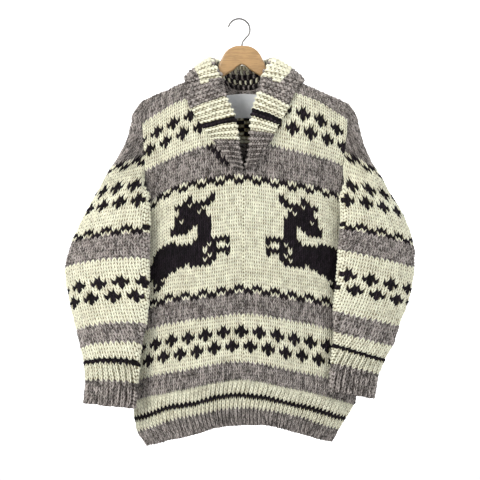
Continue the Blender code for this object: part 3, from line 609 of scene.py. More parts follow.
def hook_route():
    """Centre line of the hook's wire, from its tip to the wood."""
    middle = WIRE_RADIUS - HOOK_RADIUS
    angles = np.radians(np.linspace(168, -32, 17))
    bend = np.column_stack([np.cos(angles), np.sin(angles)]) * HOOK_RADIUS + [0, middle]
    keys = np.arange(len(HOOK_STEM["x"]))
    steps = np.linspace(0, keys[-1], 13)[1:]
    return np.vstack([bend, smooth(steps, keys, np.stack(list(HOOK_STEM.values()), axis=1))])


# ---------------------------------------------------------------- surfaces


class Surface:
    """A sheet's outer face as a grid of points and directions, read anywhere between them."""

    def __init__(self, rows, stitches, points, outs):
        self.rows = np.asarray(rows, float)
        self.stitches = np.asarray(stitches, float)
        self.values = np.concatenate([points, outs], axis=-1)

    def at(self, stitch, row):
        """Points and outward directions at arrays of (stitch, row)."""
        i, down = self.cell(row, self.rows)
        j, across = self.cell(stitch, self.stitches)
        low = self.values[i, j] * (1 - across) + self.values[i, j + 1] * across
        high = self.values[i + 1, j] * (1 - across) + self.values[i + 1, j + 1] * across
        value = low * (1 - down) + high * down
        return value[..., :3], unit(value[..., 3:])

    @staticmethod
    def cell(place, keys):
        low = np.clip(np.searchsorted(keys, place, side="right") - 1, 0, len(keys) - 2)
        return low, np.clip((place - keys[low]) / (keys[low + 1] - keys[low]), 0, 1)[..., None]


@functools.cache
def body_surface(face):
    """The front (-1) or the back (1) of the body, from the hem's edge to the shoulder."""
    rows = np.concatenate([np.arange(0, 96, 0.5), np.arange(96, TOP_ROW + 0.1, 0.25)])
    stitches = np.arange(-SIDE_STITCH, SIDE_STITCH + 0.1, 0.25)
    points = np.array([body_row(row, stitches, face) for row in rows])
    outs = np.array([body_normals(row, stitches, face) for row in rows])
    return Surface(rows, stitches, points, outs)


def ring_normals(grid, used, outwards):
    """Outward directions at grid points, from the used cells round each."""
    _, index = np.unique(np.round(grid.reshape(-1, 3), 3), axis=0, return_inverse=True)
    index = index.reshape(grid.shape[:2])
    cells = outwards * np.cross(grid[1:, 1:] - grid[:-1, :-1], grid[1:, :-1] - grid[:-1, 1:])
    used = used & (np.linalg.norm(cells, axis=2) > 1e-6)
    total = np.zeros((index.max() + 1, 3))
    for corner in (index[:-1, :-1], index[:-1, 1:], index[1:, :-1], index[1:, 1:]):
        np.add.at(total, corner[used], unit(cells[used]))
    return unit(total[index])


class SleeveSurface:
    """A sleeve over (stitch, row); stitch 0 runs down its outermost line, minus is in front.

    Up to the underarm it is a ring, which closes halfway along the inner wall.
    Above, it ends at the armhole seams.
    """

    FAR = 24.0  # stitches to each side that the grid holds

    def __init__(self, hand):
        levels, points, outs = self.rings(hand, -1 if hand == "left" else 1)
        ring = levels.index(CROTCH_ROW) + 1
        lower = np.arange(0, CROTCH_ROW + 0.1, 0.5)
        upper = np.arange(CROTCH_ROW, CAP_ROW + 0.1, 0.5)
        low = [smooth(lower, levels[:ring], grid[:ring]) for grid in (points, outs)]
        high = [smooth(upper, levels, grid)[:, : ARC_CELLS + 1] for grid in (points, outs)]
        self.lower, arc_low, whole = self.laid_out(lower, *low, ring=True)
        self.upper, arc_high, _ = self.laid_out(upper, *high, ring=False)
        self.rows = np.concatenate([lower, upper[1:]])
        self.arc = {end: np.concatenate([arc_low[end], arc_high[end][1:]]) for end in (-1, 1)}
        self.whole = {end: (lower, whole[end]) for end in (-1, 1)}

    @staticmethod
    def rings(hand, side):
        """Levels, points and directions of the ring at each level."""
        levels = list(range(0, 58, 3)) + [CROTCH_ROW - 3]
        grid = [sleeve_ring(hand, row, side) for row in levels[:-1]]
        grid.append(underarm_ring(hand, levels[-1], side))
        crotch = len(levels)
        body_levels = np.linspace(UNDERARM_ROW, TOP_ROW, 15)
        for level in body_levels:
            share = (level - UNDERARM_ROW) / (TOP_ROW - UNDERARM_ROW)
            levels.append(CROTCH_ROW + share * (CAP_ROW - CROTCH_ROW))
            ends = [
                body_row(level, [side * ARMHOLE_STITCH], face)[0] + [side * SEAM, 0, 0]
                for face in (-1, 1)
            ]
            arc = cap_arc(hand, levels[-1], *ends)
            rest = np.repeat(arc[-1:], WALL_CELLS, axis=0)
            if level == UNDERARM_ROW:
                rest = underarm_wall(level, side, 5 * SEAM)[1:]
                rest[-1] = arc[0]
            grid.append(np.concatenate([arc, rest]))
        grid = np.array(grid)
        used = np.ones((len(levels) - 1, ARC_CELLS + WALL_CELLS), bool)
        used[crotch:, ARC_CELLS:] = False
        outs = ring_normals(grid, used, side)
        for i, level in enumerate(body_levels, crotch):
            for j, face in ((0, -1), (ARC_CELLS, 1)):
                body_out = body_normals(level, [side * ARMHOLE_STITCH], face)[0]
                if i > crotch or -side * outs[i, j, 0] < -side * body_out[0]:
                    outs[i, j] = body_out
        outs[crotch, -1] = outs[crotch, 0]
        return levels, grid, outs

    def laid_out(self, rows, points, outs, ring):
        """The rings' points again, at even stitches out from the outermost line."""
        half, middle = ARC_CELLS // 2, ARC_CELLS + WALL_CELLS // 2
        order = {-1: list(range(half, -1, -1)), 1: list(range(half, ARC_CELLS + 1))}
        if ring:
            order[-1] += list(range(ARC_CELLS + WALL_CELLS - 1, middle - 1, -1))
            order[1] += list(range(ARC_CELLS + 1, middle + 1))
        places = np.arange(0, self.FAR + 0.1, 0.25)
        width = np.interp(rows, SLEEVE_STITCH["row"], SLEEVE_STITCH["width"])[:, None]
        sides, arc, whole = {}, {}, {}
        for end, columns in order.items():
            values = np.concatenate([points[:, columns], outs[:, columns]], axis=2)
            length = np.array([lengths(line) for line in points[:, columns]]) / width
            arc[end], whole[end] = length[:, half], length[:, -1]
            sides[end] = np.array([between(places, *line) for line in zip(length, values)])
        values = np.concatenate([sides[-1][:, :0:-1], sides[1]], axis=1)
        stitches = np.concatenate([-places[:0:-1], places])
        return Surface(rows, stitches, values[..., :3], values[..., 3:]), arc, whole

    def arc_end(self, row, end):
        """Stitches from the outermost line to the front (-1) or back (1) corner."""
        return np.interp(row, self.rows, self.arc[end])

    def last(self, row, end):
        """Stitches from the outermost line to where the sheet ends."""
        ring = np.interp(row, *self.whole[end])
        return np.where(row <= CROTCH_ROW, ring, self.arc_end(row, end))

    def has(self, beside, row, end):
        """Whether the sheet reaches a stitch this far beside the outermost line."""
        last = self.arc_end(row, end)
        if row < CROTCH_ROW:
            last = max(self.last(row, end), self.last(row + 1, end))
        return beside < last - EDGE_SLACK

    def locate(self, stitch, flat, row):
        """Points and directions of lattice points; `flat` is the row before the stitch's lean."""
        end = np.where(stitch < 0, -1, 1)
        arc = np.where(end < 0, self.arc_end(flat, -1), self.arc_end(flat, 1))
        last = np.where(end < 0, self.last(flat, -1), self.last(flat, 1))
        row = np.where(np.abs(stitch) > arc - EDGE_SLACK, flat, row)
        beyond = np.abs(stitch) >= last - EDGE_SLACK
        stitch = np.where(beyond, end * self.FAR, stitch)
        high = ((flat > CROTCH_ROW) | (row > CROTCH_ROW))[..., None]
        pairs = zip(self.upper.at(stitch, row), self.lower.at(stitch, row))
        points, outs = (np.where(high, above, below) for above, below in pairs)
        return points, outs, beyond


class CollarSurface:
    """The collar over (stitch across, line along), from the left lapel round to the right."""

    def __init__(self):
        left, right = lapel_stations("left", -1), lapel_stations("right", 1)
        behind = [collar_back_station(-1, station) for station in COLLAR_BACK]
        behind += [collar_back_station(1, station) for station in COLLAR_BACK[-2::-1]]
        stations = left + behind + right[::-1]
        lapel = LAPELS["left"]["row"]
        beyond = LAPEL_TOP_ROW + np.arange(1, len(COLLAR_BACK) + 1)
        keys = np.arange(len(stations))
        fine = np.linspace(0, keys[-1], STATION_STEPS * keys[-1] + 1)
        grid = smooth(fine, keys, self.sections(stations))
        across = np.arange(grid.shape[1])
        finer = np.linspace(0, across[-1], SECTION_SPLITS * across[-1] + 1)
        grid = smooth(finer, across, grid.transpose(1, 0, 2)).transpose(1, 0, 2)
        grid = np.array([resample(line, SECTION_SPLITS * COLLAR_STITCHES + 1) for line in grid])
        outs = unit(np.cross(np.gradient(grid, axis=0), np.gradient(grid, axis=1)))
        steps = np.linalg.norm(np.diff(grid[:, grid.shape[1] // 2 :], axis=0), axis=2)
        self.lines = np.append(0, np.cumsum(steps.mean(axis=1))) / GARTER_LINE
        places = np.linspace(0, COLLAR_STITCHES, grid.shape[1])
        self.surface = Surface(self.lines, places, grid, outs)
        rows = np.concatenate([lapel, beyond, beyond[-2::-1], lapel[::-1]])
        self.body_rows = np.interp(fine, keys, rows)
        joins = (len(lapel) - 1, len(stations) - len(lapel))
        self.joins = [round(float(np.interp(key, fine, self.lines))) for key in joins]
        self.count = round(float(self.lines[-1]))
        self.scale = self.lines[-1] / self.count

    @staticmethod
    def sections(stations):
        run = np.gradient(np.array([crest for _, crest, _ in stations]), axis=0)
        grid = []
        for (seam, crest, edge), along in zip(stations, run):
            fall = unit(edge - crest)
            grid.append(collar_section(seam, crest, fall, edge, unit(np.cross(unit(along), fall))))
        return np.array(grid)

    def locate(self, stitch, flat, row, side):
        points, outs = self.surface.at(stitch, row * self.scale)
        lines = [join + end * LOFT_FADE for join in self.joins for end in (-1, 1)]
        behind = np.interp(row, lines, (0, 1, 1, 0))
        loft = COLLAR_LOFT * behind * np.interp(stitch, (2, 5, 9, COLLAR_STITCHES), (0, 1, 0.8, 0))
        return points + loft[..., None] * outs, outs, False

    def body_row_at(self, line):
        """The body's row that a line of the collar lies at."""
        return float(np.interp(line * self.scale, self.lines, self.body_rows))


# ---------------------------------------------------------------- stitches


def always(stitch, row):
    return True


class Knitting:
    """Collects a knitted piece's points and faces: its outer face, inner face and rims."""

    def __init__(self):
        self.points, self.data, self.faces, self.yarn, self.inside = [], [], [], [], []
        self.count = 0

    def block(self, locate, stitches, rows, colour, used=always, side=1, inner=None, **style):
        """Adds the stitches from `stitches[0]` to `[1]` in the rows from `rows[0]` to `[1]`.

        `used` says which stitches there are, `colour` gives each its yarn, and `inner`
        the yarn of its inner face, where that differs.
        """
        wide, tall = stitches[1] - stitches[0], rows[1] - rows[0]
        n, m = np.meshgrid(np.arange(wide * LEG_CELLS + 1), np.arange(tall * ROW_CELLS + 1))
        at = StitchShape(n, m, stitches[0], rows[0], **style)
        points, outs, beyond = locate(at.stitch, at.v, at.row, side)
        leg = np.where(beyond, 1.0, at.leg)
        outer = self.add_points(points, outs, leg, at.along, at.purl, at.raised, 1, at.u, at.v)
        k, r = np.meshgrid(np.arange(wide + 1.0) + stitches[0], np.arange(tall + 1.0) + rows[0])
        points, outs, _ = locate(k, r, r, side)
        rear = self.add_points(points - WALL * outs, outs, 0, 0, 0, 0, 0, k, r)
        keep, yarn, hidden = (
            np.array([[ask(stitch, row) for stitch in range(*stitches)] for row in range(*rows)])
            for ask in (used, colour, inner or colour)
        )
        spread = np.ones((ROW_CELLS, LEG_CELLS), int)
        fine = np.kron(yarn, spread)
        fine[:-1][fine[1:] == DARK] = DARK  # the dark yarn swells over the row below it
        self.add_cells(outer, np.kron(keep, spread).astype(bool), fine, 0)
        self.add_cells(rear[::-1], keep[::-1], hidden[::-1], 1)
        self.add_rims(outer, rear, keep, yarn)

    def add_points(self, points, outs, *values):
        """Adds points with their directions, and their values in the order of POINT_VALUES."""
        shape = points.shape[:2]
        self.points.append(points.reshape(-1, 3))
        columns = [np.broadcast_to(value, shape).ravel() for value in values]
        self.data.append(np.column_stack([outs.reshape(-1, 3), *columns]))
        first = self.count
        self.count += shape[0] * shape[1]
        return np.arange(first, self.count).reshape(shape)

    def add_cells(self, index, keep, yarn, inside):
        corners = (index[:-1, :-1], index[:-1, 1:], index[1:, 1:], index[1:, :-1])
        self.add_faces(np.stack(corners, axis=-1)[keep].tolist(), yarn[keep].tolist(), inside)

    def add_faces(self, faces, yarn, inside):
        self.faces += faces
        self.yarn += yarn
        self.inside += [inside] * len(faces)

    def add_rims(self, outer, inner, keep, yarn):
        """A face from the outer to the inner edge of each stitch with no neighbour."""
        padded = np.pad(keep, 1)
        for b, a in zip(*np.nonzero(keep)):
            low, left = b * ROW_CELLS, a * LEG_CELLS
            box = outer[low : low + ROW_CELLS + 1, left : left + LEG_CELLS + 1]
            ends = inner[b : b + 2, a : a + 2]
            neighbours = (padded[b, a + 1], padded[b + 1, a + 2], padded[b + 2, a + 1], padded[b + 1, a])
            for turns, neighbour in enumerate(neighbours):
                if not neighbour:
                    face = np.rot90(box, turns)[0][::-1].tolist() + np.rot90(ends, turns)[0].tolist()
                    self.add_faces([face], [int(yarn[b, a])], 0)

    def mesh(self, name):
        """One closed mesh, with coinciding points made one."""
        points, data = np.concatenate(self.points), np.concatenate(self.data)
        _, first, index = np.unique(
            np.round(points, 3), axis=0, return_index=True, return_inverse=True
        )
        index = index.reshape(-1)
        rings = []
        for face in self.faces:
            ring = list(zip(index[face].tolist(), face))
            rings.append([one for one, last in zip(ring, ring[-1:] + ring[:-1]) if one[0] != last[0]])
        faces = [[place for place, _ in ring] for ring in rings]
        whole = [n for n, face in enumerate(faces) if len(face) > 2 and len(set(face)) == len(face)]
        seen = collections.Counter(frozenset(faces[number]) for number in whole)
        # two faces on each other go, because there two edges are sewn together
        kept = [number for number in whole if seen[frozenset(faces[number])] == 1]
        faces = [faces[number] for number in kept]
        mesh = bpy.data.meshes.new(name)
        mesh.from_pydata(((points[first] + [CENTRE_X, 0, 0]) * MM).tolist(), [], faces)
        yarn = np.array(self.yarn)[kept]
        # Points of the dark yarn's faces, where the wool shader paints extra shade onto the yarn next to
        # it
        beside = np.zeros(len(first))
        for number in np.nonzero(yarn == DARK)[0]:
            beside[faces[number]] = 1
        for key, column in zip(POINT_VALUES, data[first].T[3:]):
            put(mesh, key, "FLOAT", "POINT", column)
        put(mesh, "out", "FLOAT_VECTOR", "POINT", data[first, :3])
        put(mesh, "beside", "FLOAT", "POINT", beside)
        put(mesh, "yarn", "INT", "FACE", yarn)
        put(mesh, "inside", "FLOAT", "FACE", np.array(self.inside)[kept])
        corners = [corner for number in kept for _, corner in rings[number]]
        lay_uv(mesh, data[corners, -2:])
        return tidied(mesh)


POINT_VALUES = ("leg", "along", "purl", "raised", "relief")  # each point's u and v come after


class StitchShape:
    """Where the lattice points of stitches lie, and what raises them."""

    def __init__(self, n, m, first, start, rib_fade=None, rise=RIB_RAISE, garter=False):
        self.u, self.v = first + n / LEG_CELLS, start + m / ROW_CELLS
        self.along = m % ROW_CELLS / ROW_CELLS
        self.stitch = self.u
        if garter:
            self.shape_garter()
            return
        part = n % LEG_CELLS / LEG_CELLS
        self.leg = np.abs(2 * part - 1)
        self.purl = self.raised = np.zeros(n.shape)
        if rib_fade:
            strength = np.interp(self.v, *rib_fade)
            wave = np.clip(RIB_STEEPNESS * np.sin(math.pi * self.u), -RIB_DEPTH, 1)
            self.raised = strength * rise * wave
            odd = ((first + n // LEG_CELLS) % 2 == 1) & (part > 0)
            self.purl = np.where(odd, strength, 0)
            self.stitch = self.u - RIB_WARP * strength * np.cos(math.pi * self.u)
        self.row = self.v + LEAN * (1 - self.purl) * (self.leg - 0.5)

    def shape_garter(self):
        """Rows of bumps, every other one shifted by half a stitch, in ridges and furrows."""
        turn = self.u + np.floor(self.v) % 2 * 0.5
        self.purl = np.ones(turn.shape)
        self.leg = np.abs(2 * (turn % 1) - 1)
        bend = GARTER_WAVE * np.cos(2 * math.pi * turn) - GARTER_SPREAD * np.cos(math.pi * self.v)
        self.row = self.v + ((self.v > self.v.min()) & (self.v < self.v.max())) * bend
        wave = np.sin(math.pi * self.v)
        self.raised = np.where(wave > 0, GARTER_RIDGE, GARTER_FURROW) * wave


def put(mesh, name, kind, domain, values):
    attribute = mesh.attributes.new(name, kind, domain)
    key = "vector" if kind == "FLOAT_VECTOR" else "value"
    attribute.data.foreach_set(key, np.ravel(values).astype(np.int32 if kind == "INT" else np.float32))


def lay_uv(mesh, places):
    """Gives each corner of each face its place in stitches."""
    layer = mesh.uv_layers.new(name="stitch")
    layer.data.foreach_set("uv", np.asarray(places, np.float32).ravel())


def tidied(mesh, merge=0.0, turn=None):
    """The mesh with no loose points, its faces pointing outwards, and smooth."""
    shape = bmesh.new()
    shape.from_mesh(mesh)
    loose = [vertex for vertex in shape.verts if not vertex.link_faces]
    bmesh.ops.delete(shape, geom=loose, context="VERTS")
    if merge:
        bmesh.ops.remove_doubles(shape, verts=shape.verts, dist=merge)
        bmesh.ops.recalc_face_normals(shape, faces=shape.faces)
    if turn:
        bmesh.ops.rotate(shape, verts=shape.verts, matrix=turn)
    if shape.calc_volume(signed=True) < 0:
        bmesh.ops.reverse_faces(shape, faces=shape.faces)
    shape.to_mesh(mesh)
    shape.free()
    mesh.shade_smooth()
    return mesh


def placed(name, mesh, finish=None):
    """A new object at the origin."""
    obj = bpy.data.objects.new(name, mesh)
    bpy.context.scene.collection.objects.link(obj)
    if finish:
        mesh.materials.clear()
        mesh.materials.append(finish)
    return obj


# ---------------------------------------------------------------- node wiring


class Wire:
    """An output of a node. Arithmetic on it adds Math nodes."""

    def __init__(self, board, socket):
        self.board, self.socket = board, socket

    def math(self, operation, *values):
        return self.board.add("ShaderNodeMath", {"operation": operation}, values)

    def __add__(self, other):
        return self.math("ADD", self, other)

    __radd__ = __add__

    def __sub__(self, other):
        return self.math("SUBTRACT", self, other)

    def __rsub__(self, other):
        return self.math("SUBTRACT", other, self)

    def __mul__(self, other):
        return self.math("MULTIPLY", self, other)

    __rmul__ = __mul__

    def __truediv__(self, other):
        return self.math("DIVIDE", self, other)

    def sine(self):
        return self.math("SINE", self)

    def fraction(self):
        return self.math("FRACT", self)

    def floor(self):
        return self.math("FLOOR", self)

    def size(self):
        return self.math("ABSOLUTE", self)

    def above(self, limit):
        return self.math("GREATER_THAN", self, limit)

    def clamped(self):
        return self.math("MAXIMUM", self.math("MINIMUM", self, 1.0), 0.0)

    def output(self, name):
        return Wire(self.board, self.socket.node.outputs[name])


class Board:
    """A node tree that nodes are added to and wired on."""

    def __init__(self, tree):
        self.tree = tree

    def add(self, kind, settings=None, inputs=(), output=0):
        """A node; `settings` come first, then the values or wires of its sockets."""
        node = self.tree.nodes.new(kind)
        for key, value in (settings or {}).items():
            setattr(node, key, value)
        for key, value in inputs.items() if isinstance(inputs, dict) else enumerate(inputs):
            if isinstance(value, Wire):
                self.tree.links.new(value.socket, node.inputs[key])
            else:
                node.inputs[key].default_value = value
        return Wire(self, node.outputs[output]) if node.outputs else node

    def mix(self, factor, one, other, blend="MIX"):
        """Mixes two colours."""
        settings = {"data_type": "RGBA", "blend_type": blend}
        return self.add("ShaderNodeMix", settings, {0: factor, 6: one, 7: other}, 2)

    def vector(self, operation, *values):
        return self.add("ShaderNodeVectorMath", {"operation": operation}, values)

    def scaled(self, vector, factor):
        return self.add(
            "ShaderNodeVectorMath", {"operation": "SCALE"}, {0: vector, "Scale": factor}
        )

    def joined(self, *values):
        return self.add("ShaderNodeCombineXYZ", None, values)

    def parted(self, vector):
        """The first two parts of a vector."""
        parts = self.add("ShaderNodeSeparateXYZ", None, [vector])
        return parts, parts.output("Y")


class FieldTree(Board):
    """A Geometry Nodes tree with named inputs: numbers, a seed, and a material for each yarn."""

    def __init__(self, name, *numbers, seed):
        super().__init__(bpy.data.node_groups.new(name, "GeometryNodeTree"))
        face = self.tree.interface
        face.new_socket("Geometry", in_out="OUTPUT", socket_type="NodeSocketGeometry")
        face.new_socket("Geometry", in_out="INPUT", socket_type="NodeSocketGeometry")
        kinds = {**dict.fromkeys(numbers, "Float"), "Seed": seed, **dict.fromkeys(YARNS, "Material")}
        self.keys = {}
        for key, kind in kinds.items():
            item = face.new_socket(key, in_out="INPUT", socket_type="NodeSocket" + kind)
            self.keys[key] = item.identifier
        self.start = self.add("NodeGroupInput")

    def value(self, name):
        return self.start.output(name)

    def make(self, kind, settings=None, output=0, **inputs):
        """A Geometry Nodes node; an underscore in an input's name stands for a space."""
        inputs = {key.replace("_", " "): value for key, value in inputs.items()}
        return self.add("GeometryNode" + kind, settings, inputs, output)

    def attribute(self, name, kind="FLOAT"):
        return self.make("InputNamedAttribute", {"data_type": kind}, Name=name)

    def compare(self, operation, kind, values):
        settings = {"data_type": kind, "operation": operation}
        return self.add("FunctionNodeCompare", settings, values)

    def dressed(self, geometry):
        """Realizes instances and gives each face the material of its yarn."""
        geometry = self.make("RealizeInstances", Geometry=geometry)
        for number, name in enumerate(YARNS):
            same = self.compare("EQUAL", "INT", {2: self.attribute("yarn", "INT"), 3: number})
            geometry = self.make(
                "SetMaterial", Geometry=geometry, Selection=same, Material=self.value(name)
            )
        self.add("NodeGroupOutput", None, {"Geometry": geometry})
        return self


def shaped(name, mesh, tree, values):
    """An object at the origin whose mesh is `mesh` put through a Geometry Nodes tree."""
    obj = placed(name, mesh)
    modifier = obj.modifiers.new("shape", "NODES")
    modifier.node_group = tree.tree
    for key, value in values.items():
        modifier[tree.keys[key]] = value
    graph = bpy.context.evaluated_depsgraph_get()
    result = bpy.data.meshes.new_from_object(
        obj.evaluated_get(graph), preserve_all_data_layers=True, depsgraph=graph
    )
    obj.modifiers.clear()
    obj.data = result
    result.name = name
    return obj


def stitch_tree():
    """Raises the yarn of every stitch from the lattice."""
    tree = FieldTree(
        "raised stitches", "Stitch Height", "Bump Height", "Sink", "Unevenness", "Sway", seed="Float"
    )
    leg, along, purl = (tree.attribute(key) for key in ("leg", "along", "purl"))
    across, down = leg * 2.0 - 1.0, along * 2.0 - 1.0
    slant = across * down * along.above(0.1)
    plain = (1.0 - 0.8 * across * across - 0.5 * down * down + 0.5 * slant).clamped()
    turned = (1.05 - 0.65 * leg * leg - 0.85 * down * down).clamped()
    plain, turned = plain * tree.value("Stitch Height"), turned * tree.value("Bump Height")
    height = plain * (1.0 - purl) + turned * purl - tree.value("Sink")
    sizes = {"Vector": tree.make("InputPosition"), "W": tree.value("Seed"), "Detail": 2.0}
    noise = {"noise_dimensions": "4D"}
    uneven = tree.add("ShaderNodeTexNoise", noise, {**sizes, "Scale": 70.0}) - 0.5
    sway = tree.add("ShaderNodeTexNoise", noise, {**sizes, "Scale": 55.0}, 1)
    height = height * (1.0 + uneven * 1.2) + uneven * tree.value("Unevenness")
    height = (height + tree.attribute("raised") * MM) * tree.attribute("relief")
    out = tree.scaled(tree.attribute("out", "FLOAT_VECTOR"), height)
    swayed = tree.scaled(tree.vector("SUBTRACT", sway, (0.5, 0.5, 0.5)), tree.value("Sway"))
    offset = tree.vector("ADD", out, swayed)
    return tree.dressed(tree.make("SetPosition", Geometry=tree.value("Geometry"), Offset=offset))


def fuzz_tree():
    """Short loose fibres that stand off a knitted piece's outer face."""
    tree = FieldTree("wool fuzz", "Density", "Fibre Length", "Fibre Radius", seed="Int")
    seed = tree.value("Seed")
    spread = tree.make(
        "DistributePointsOnFaces",
        Mesh=tree.value("Geometry"),
        Selection=tree.compare("LESS_THAN", "FLOAT", [tree.attribute("inside"), 0.5]),
        Density=tree.value("Density"),
        Seed=seed,
    )
    path = tree.make(
        "CurvePrimitiveLine", {"mode": "POINTS"}, Start=(0, 0, -0.001), End=(0, 0, FIBRE)
    )
    path = tree.make("ResampleCurve", Curve=path, Count=3)
    height = tree.add("ShaderNodeSeparateXYZ", None, [tree.make("InputPosition")], "Z")
    curl = tree.joined((height * 900.0).sine() * 0.0009, height * height * 260.0, 0.0)
    path = tree.make("SetPosition", Geometry=path, Offset=curl)
    profile = tree.make(
        "CurvePrimitiveCircle", {"mode": "RADIUS"}, Resolution=3, Radius=tree.value("Fibre Radius")
    )
    tilt = tree.add(
        "FunctionNodeRandomValue",
        {"data_type": "FLOAT_VECTOR"},
        {0: (-1.1, -1.1, 0.0), 1: (1.1, 1.1, 6.28), "Seed": seed},
    )
    turned = tree.add(
        "FunctionNodeRotateRotation",
        {"rotation_space": "LOCAL"},
        {"Rotation": spread.output("Rotation"), "Rotate By": tilt},
    )
    long = tree.add(
        "FunctionNodeRandomValue", {"data_type": "FLOAT"}, {2: 0.5, 3: 1.4, "Seed": seed}, 1
    )
    strewn = tree.make(
        "InstanceOnPoints",
        Points=spread,
        Instance=tree.make("CurveToMesh", Curve=path, Profile_Curve=profile),
        Rotation=turned,
        Scale=long * tree.value("Fibre Length") / FIBRE,
    )
    return tree.dressed(strewn)


# ---------------------------------------------------------------- finishes


class Paint(Board):
    """A material, and the node tree of its shader."""

    def __init__(self, name, **constants):
        self.material = bpy.data.materials.new(name)
        self.material.use_nodes = True
        super().__init__(self.material.node_tree)
        self.shader = self.tree.nodes["Principled BSDF"]
        for key, value in constants.items():
            self.shader.inputs[key.replace("_", " ")].default_value = value

    def feed(self, **wires):
        for key, wire in wires.items():
            self.tree.links.new(wire.socket, self.shader.inputs[key.replace("_", " ")])
        return self.material

    def attribute(self, name):
        return self.add("ShaderNodeAttribute", {"attribute_name": name}, output="Fac")

    def stitches(self):
        """Coordinates that count stitches across and rows up."""
        return self.parted(self.add("ShaderNodeUVMap", {"uv_map": "stitch"}))

    def noise(self, place, scale, detail=2.0, roughness=0.5):
        sizes = {"Vector": place, "Scale": scale, "Detail": detail, "Roughness": roughness}
        return self.add("ShaderNodeTexNoise", {"normalize": True}, sizes)

    def bump(self, height, distance, strength=1.0):
        sizes = {"Height": height, "Distance": distance, "Strength": strength}
        return self.add("ShaderNodeBump", None, sizes)

    def place(self, scale=(1, 1, 1)):
        """Object coordinates, stretched."""
        here = self.add("ShaderNodeTexCoord", output="Object")
        return self.add("ShaderNodeMapping", None, {"Vector": here, "Scale": scale})


def wool(name, shade, lift, contrast, fleck_scale, strands, painted_shade_tint):
    """Thick spun wool: a soft twist along each leg, fibres, and flecks of a second shade.

    `lift` is how much lighter the second shade is, `strands` how much single strands
    differ, and the last argument the tint of the shade painted into the grooves between yarns.
    """
    shade, light = toned(shade, lift**-0.5), toned(shade, lift**0.5, 0.95)
    paint = Paint(
        name,
        Roughness=0.92,
        Sheen_Weight=0.12,
        Sheen_Roughness=0.45,
        Sheen_Tint=light,
        Specular_IOR_Level=0.2,
    )
    u, v, groove, face = stitch_grooves(paint)
    twist = ((v * 2.0 + (u.fraction() * 2.0 - 1.0).size() * 1.2) * 2.0 * math.pi).sine()
    here = paint.place()
    fibres = paint.noise(here, 900.0, 4.0, 0.75)
    along = paint.joined(u * 11.0, v * 2.6, u.floor() * 3.7)
    flecks = paint.noise(along, 1.0, 3.0, 0.7) * 0.6 + paint.noise(here, fleck_scale, 3.0, 0.7) * 0.4
    broad = paint.noise(here, 22.0, 2.0)
    strand = paint.joined((u * 2.0).floor(), v.floor(), 0.0)
    strand = paint.add("ShaderNodeTexWhiteNoise", {"noise_dimensions": "3D"}, {"Vector": strand})
    mottle = (flecks - 0.5) * contrast + 0.5 + (broad - 0.5) * 0.5 + (fibres - 0.5) * 0.6
    mottle = (mottle + (strand - 0.5) * strands).clamped()
    # Painted shade: the base colour is darkened towards that tint where a place lies deep between yarns
    shadow = paint.mix(groove, (1, 1, 1, 1), (*painted_shade_tint, 1))
    colour = paint.mix(1.0, paint.mix(mottle, shade, light), shadow, "MULTIPLY")
    height = twist * 0.30 * face + (fibres - 0.5) * 1.3 - groove * (1.0 - face * 0.6)
    return paint.feed(Base_Color=colour, Normal=paint.bump(height, 0.0011))


def stitch_grooves(paint):
    """Stitch coordinates, how deep a place lies between yarns, which sets the painted shade and the
    bump, and 1 on the outer face.
    """
    u, v = paint.stitches()
    keys = ("leg", "purl", "inside", "raised", "beside")
    leg, purl, inside, raised, beside = (paint.attribute(key) for key in keys)
    down = v.fraction() * 2.0 - 1.0
    across = leg * 2.0 - 1.0
    plain = across * across * 0.85 + down * down * 0.62 - across * down * 0.80
    # A raised place lies less deep, so ridges get less painted shade and furrows more
    bump = leg * leg * 0.70 + down * down * 0.95 - raised * 0.15
    turn = ((u + v.floor() * 0.5).fraction() * 2.0 - 1.0).size()
    reverse = turn * turn * 0.6 + down * down * 0.85
    depth = (plain * (1.0 - purl) + bump * purl) * (1.0 - inside) + reverse * inside
    loose = paint.noise(paint.place(), 75.0, 1.0) - 0.5
    # Painted shade, also deeper on points beside the dark yarn, as if the bulky dark yarn shaded its
    # neighbours
    limits = {"Value": depth + loose * 1.1 + beside * 0.55, "From Min": 0.22, "From Max": 1.08}
    spread = {"interpolation_type": "SMOOTHSTEP"}
    return u, v, paint.add("ShaderNodeMapRange", spread, limits), 1.0 - inside


def toned(colour, share, most=1.0):
    """A lighter or deeper tone of a colour."""
    return (*[min(most, channel * share) for channel in colour], 1)


def beech(name, colour):
    """Varnished beech: fine grain along the arms, with a satin coat."""
    paint = Paint(name, Roughness=0.42, Coat_Weight=0.35, Coat_Roughness=0.25)
    rings = paint.noise(paint.place((6, 40, 46)), 3.2, 4.0, 0.6)
    fine = paint.noise(paint.place((60, 500, 500)), 2.0, 3.0, 0.6)
    tone = (((rings * 26.0).sine() * 0.5 + 0.5) * 0.45 + fine * 0.55).clamped()
    shade = paint.mix(tone, toned(colour, 0.66), toned(colour, 1.22))
    return paint.feed(Base_Color=shade, Normal=paint.bump(fine, 0.0003, 0.5))


def steel(name):
    """Worn plated wire."""
    paint = Paint(name, Metallic=1.0)
    scuffs = paint.noise(paint.place(), 320.0, 5.0, 0.7)
    shade = paint.mix(scuffs, (0.07, 0.065, 0.06, 1), (0.26, 0.25, 0.24, 1))
    return paint.feed(Base_Color=shade, Roughness=scuffs * 0.35 + 0.2)


def label_weave(name, colour):
    """Fine satin weave of a bare sewn label."""
    paint = Paint(name, Roughness=0.6, Sheen_Weight=0.2)
    u, v = paint.stitches()
    weave = (u * 2.0 * math.pi * 55.0).sine() * (v * 2.0 * math.pi * 40.0).sine()
    tone = (weave * 0.2 + paint.noise(paint.place(), 60.0, 3.0) * 0.8).clamped()
    shade = paint.mix(tone, toned(colour, 0.72), toned(colour, 1.25))
    return paint.feed(Base_Color=shade, Normal=paint.bump(weave, 0.00015))


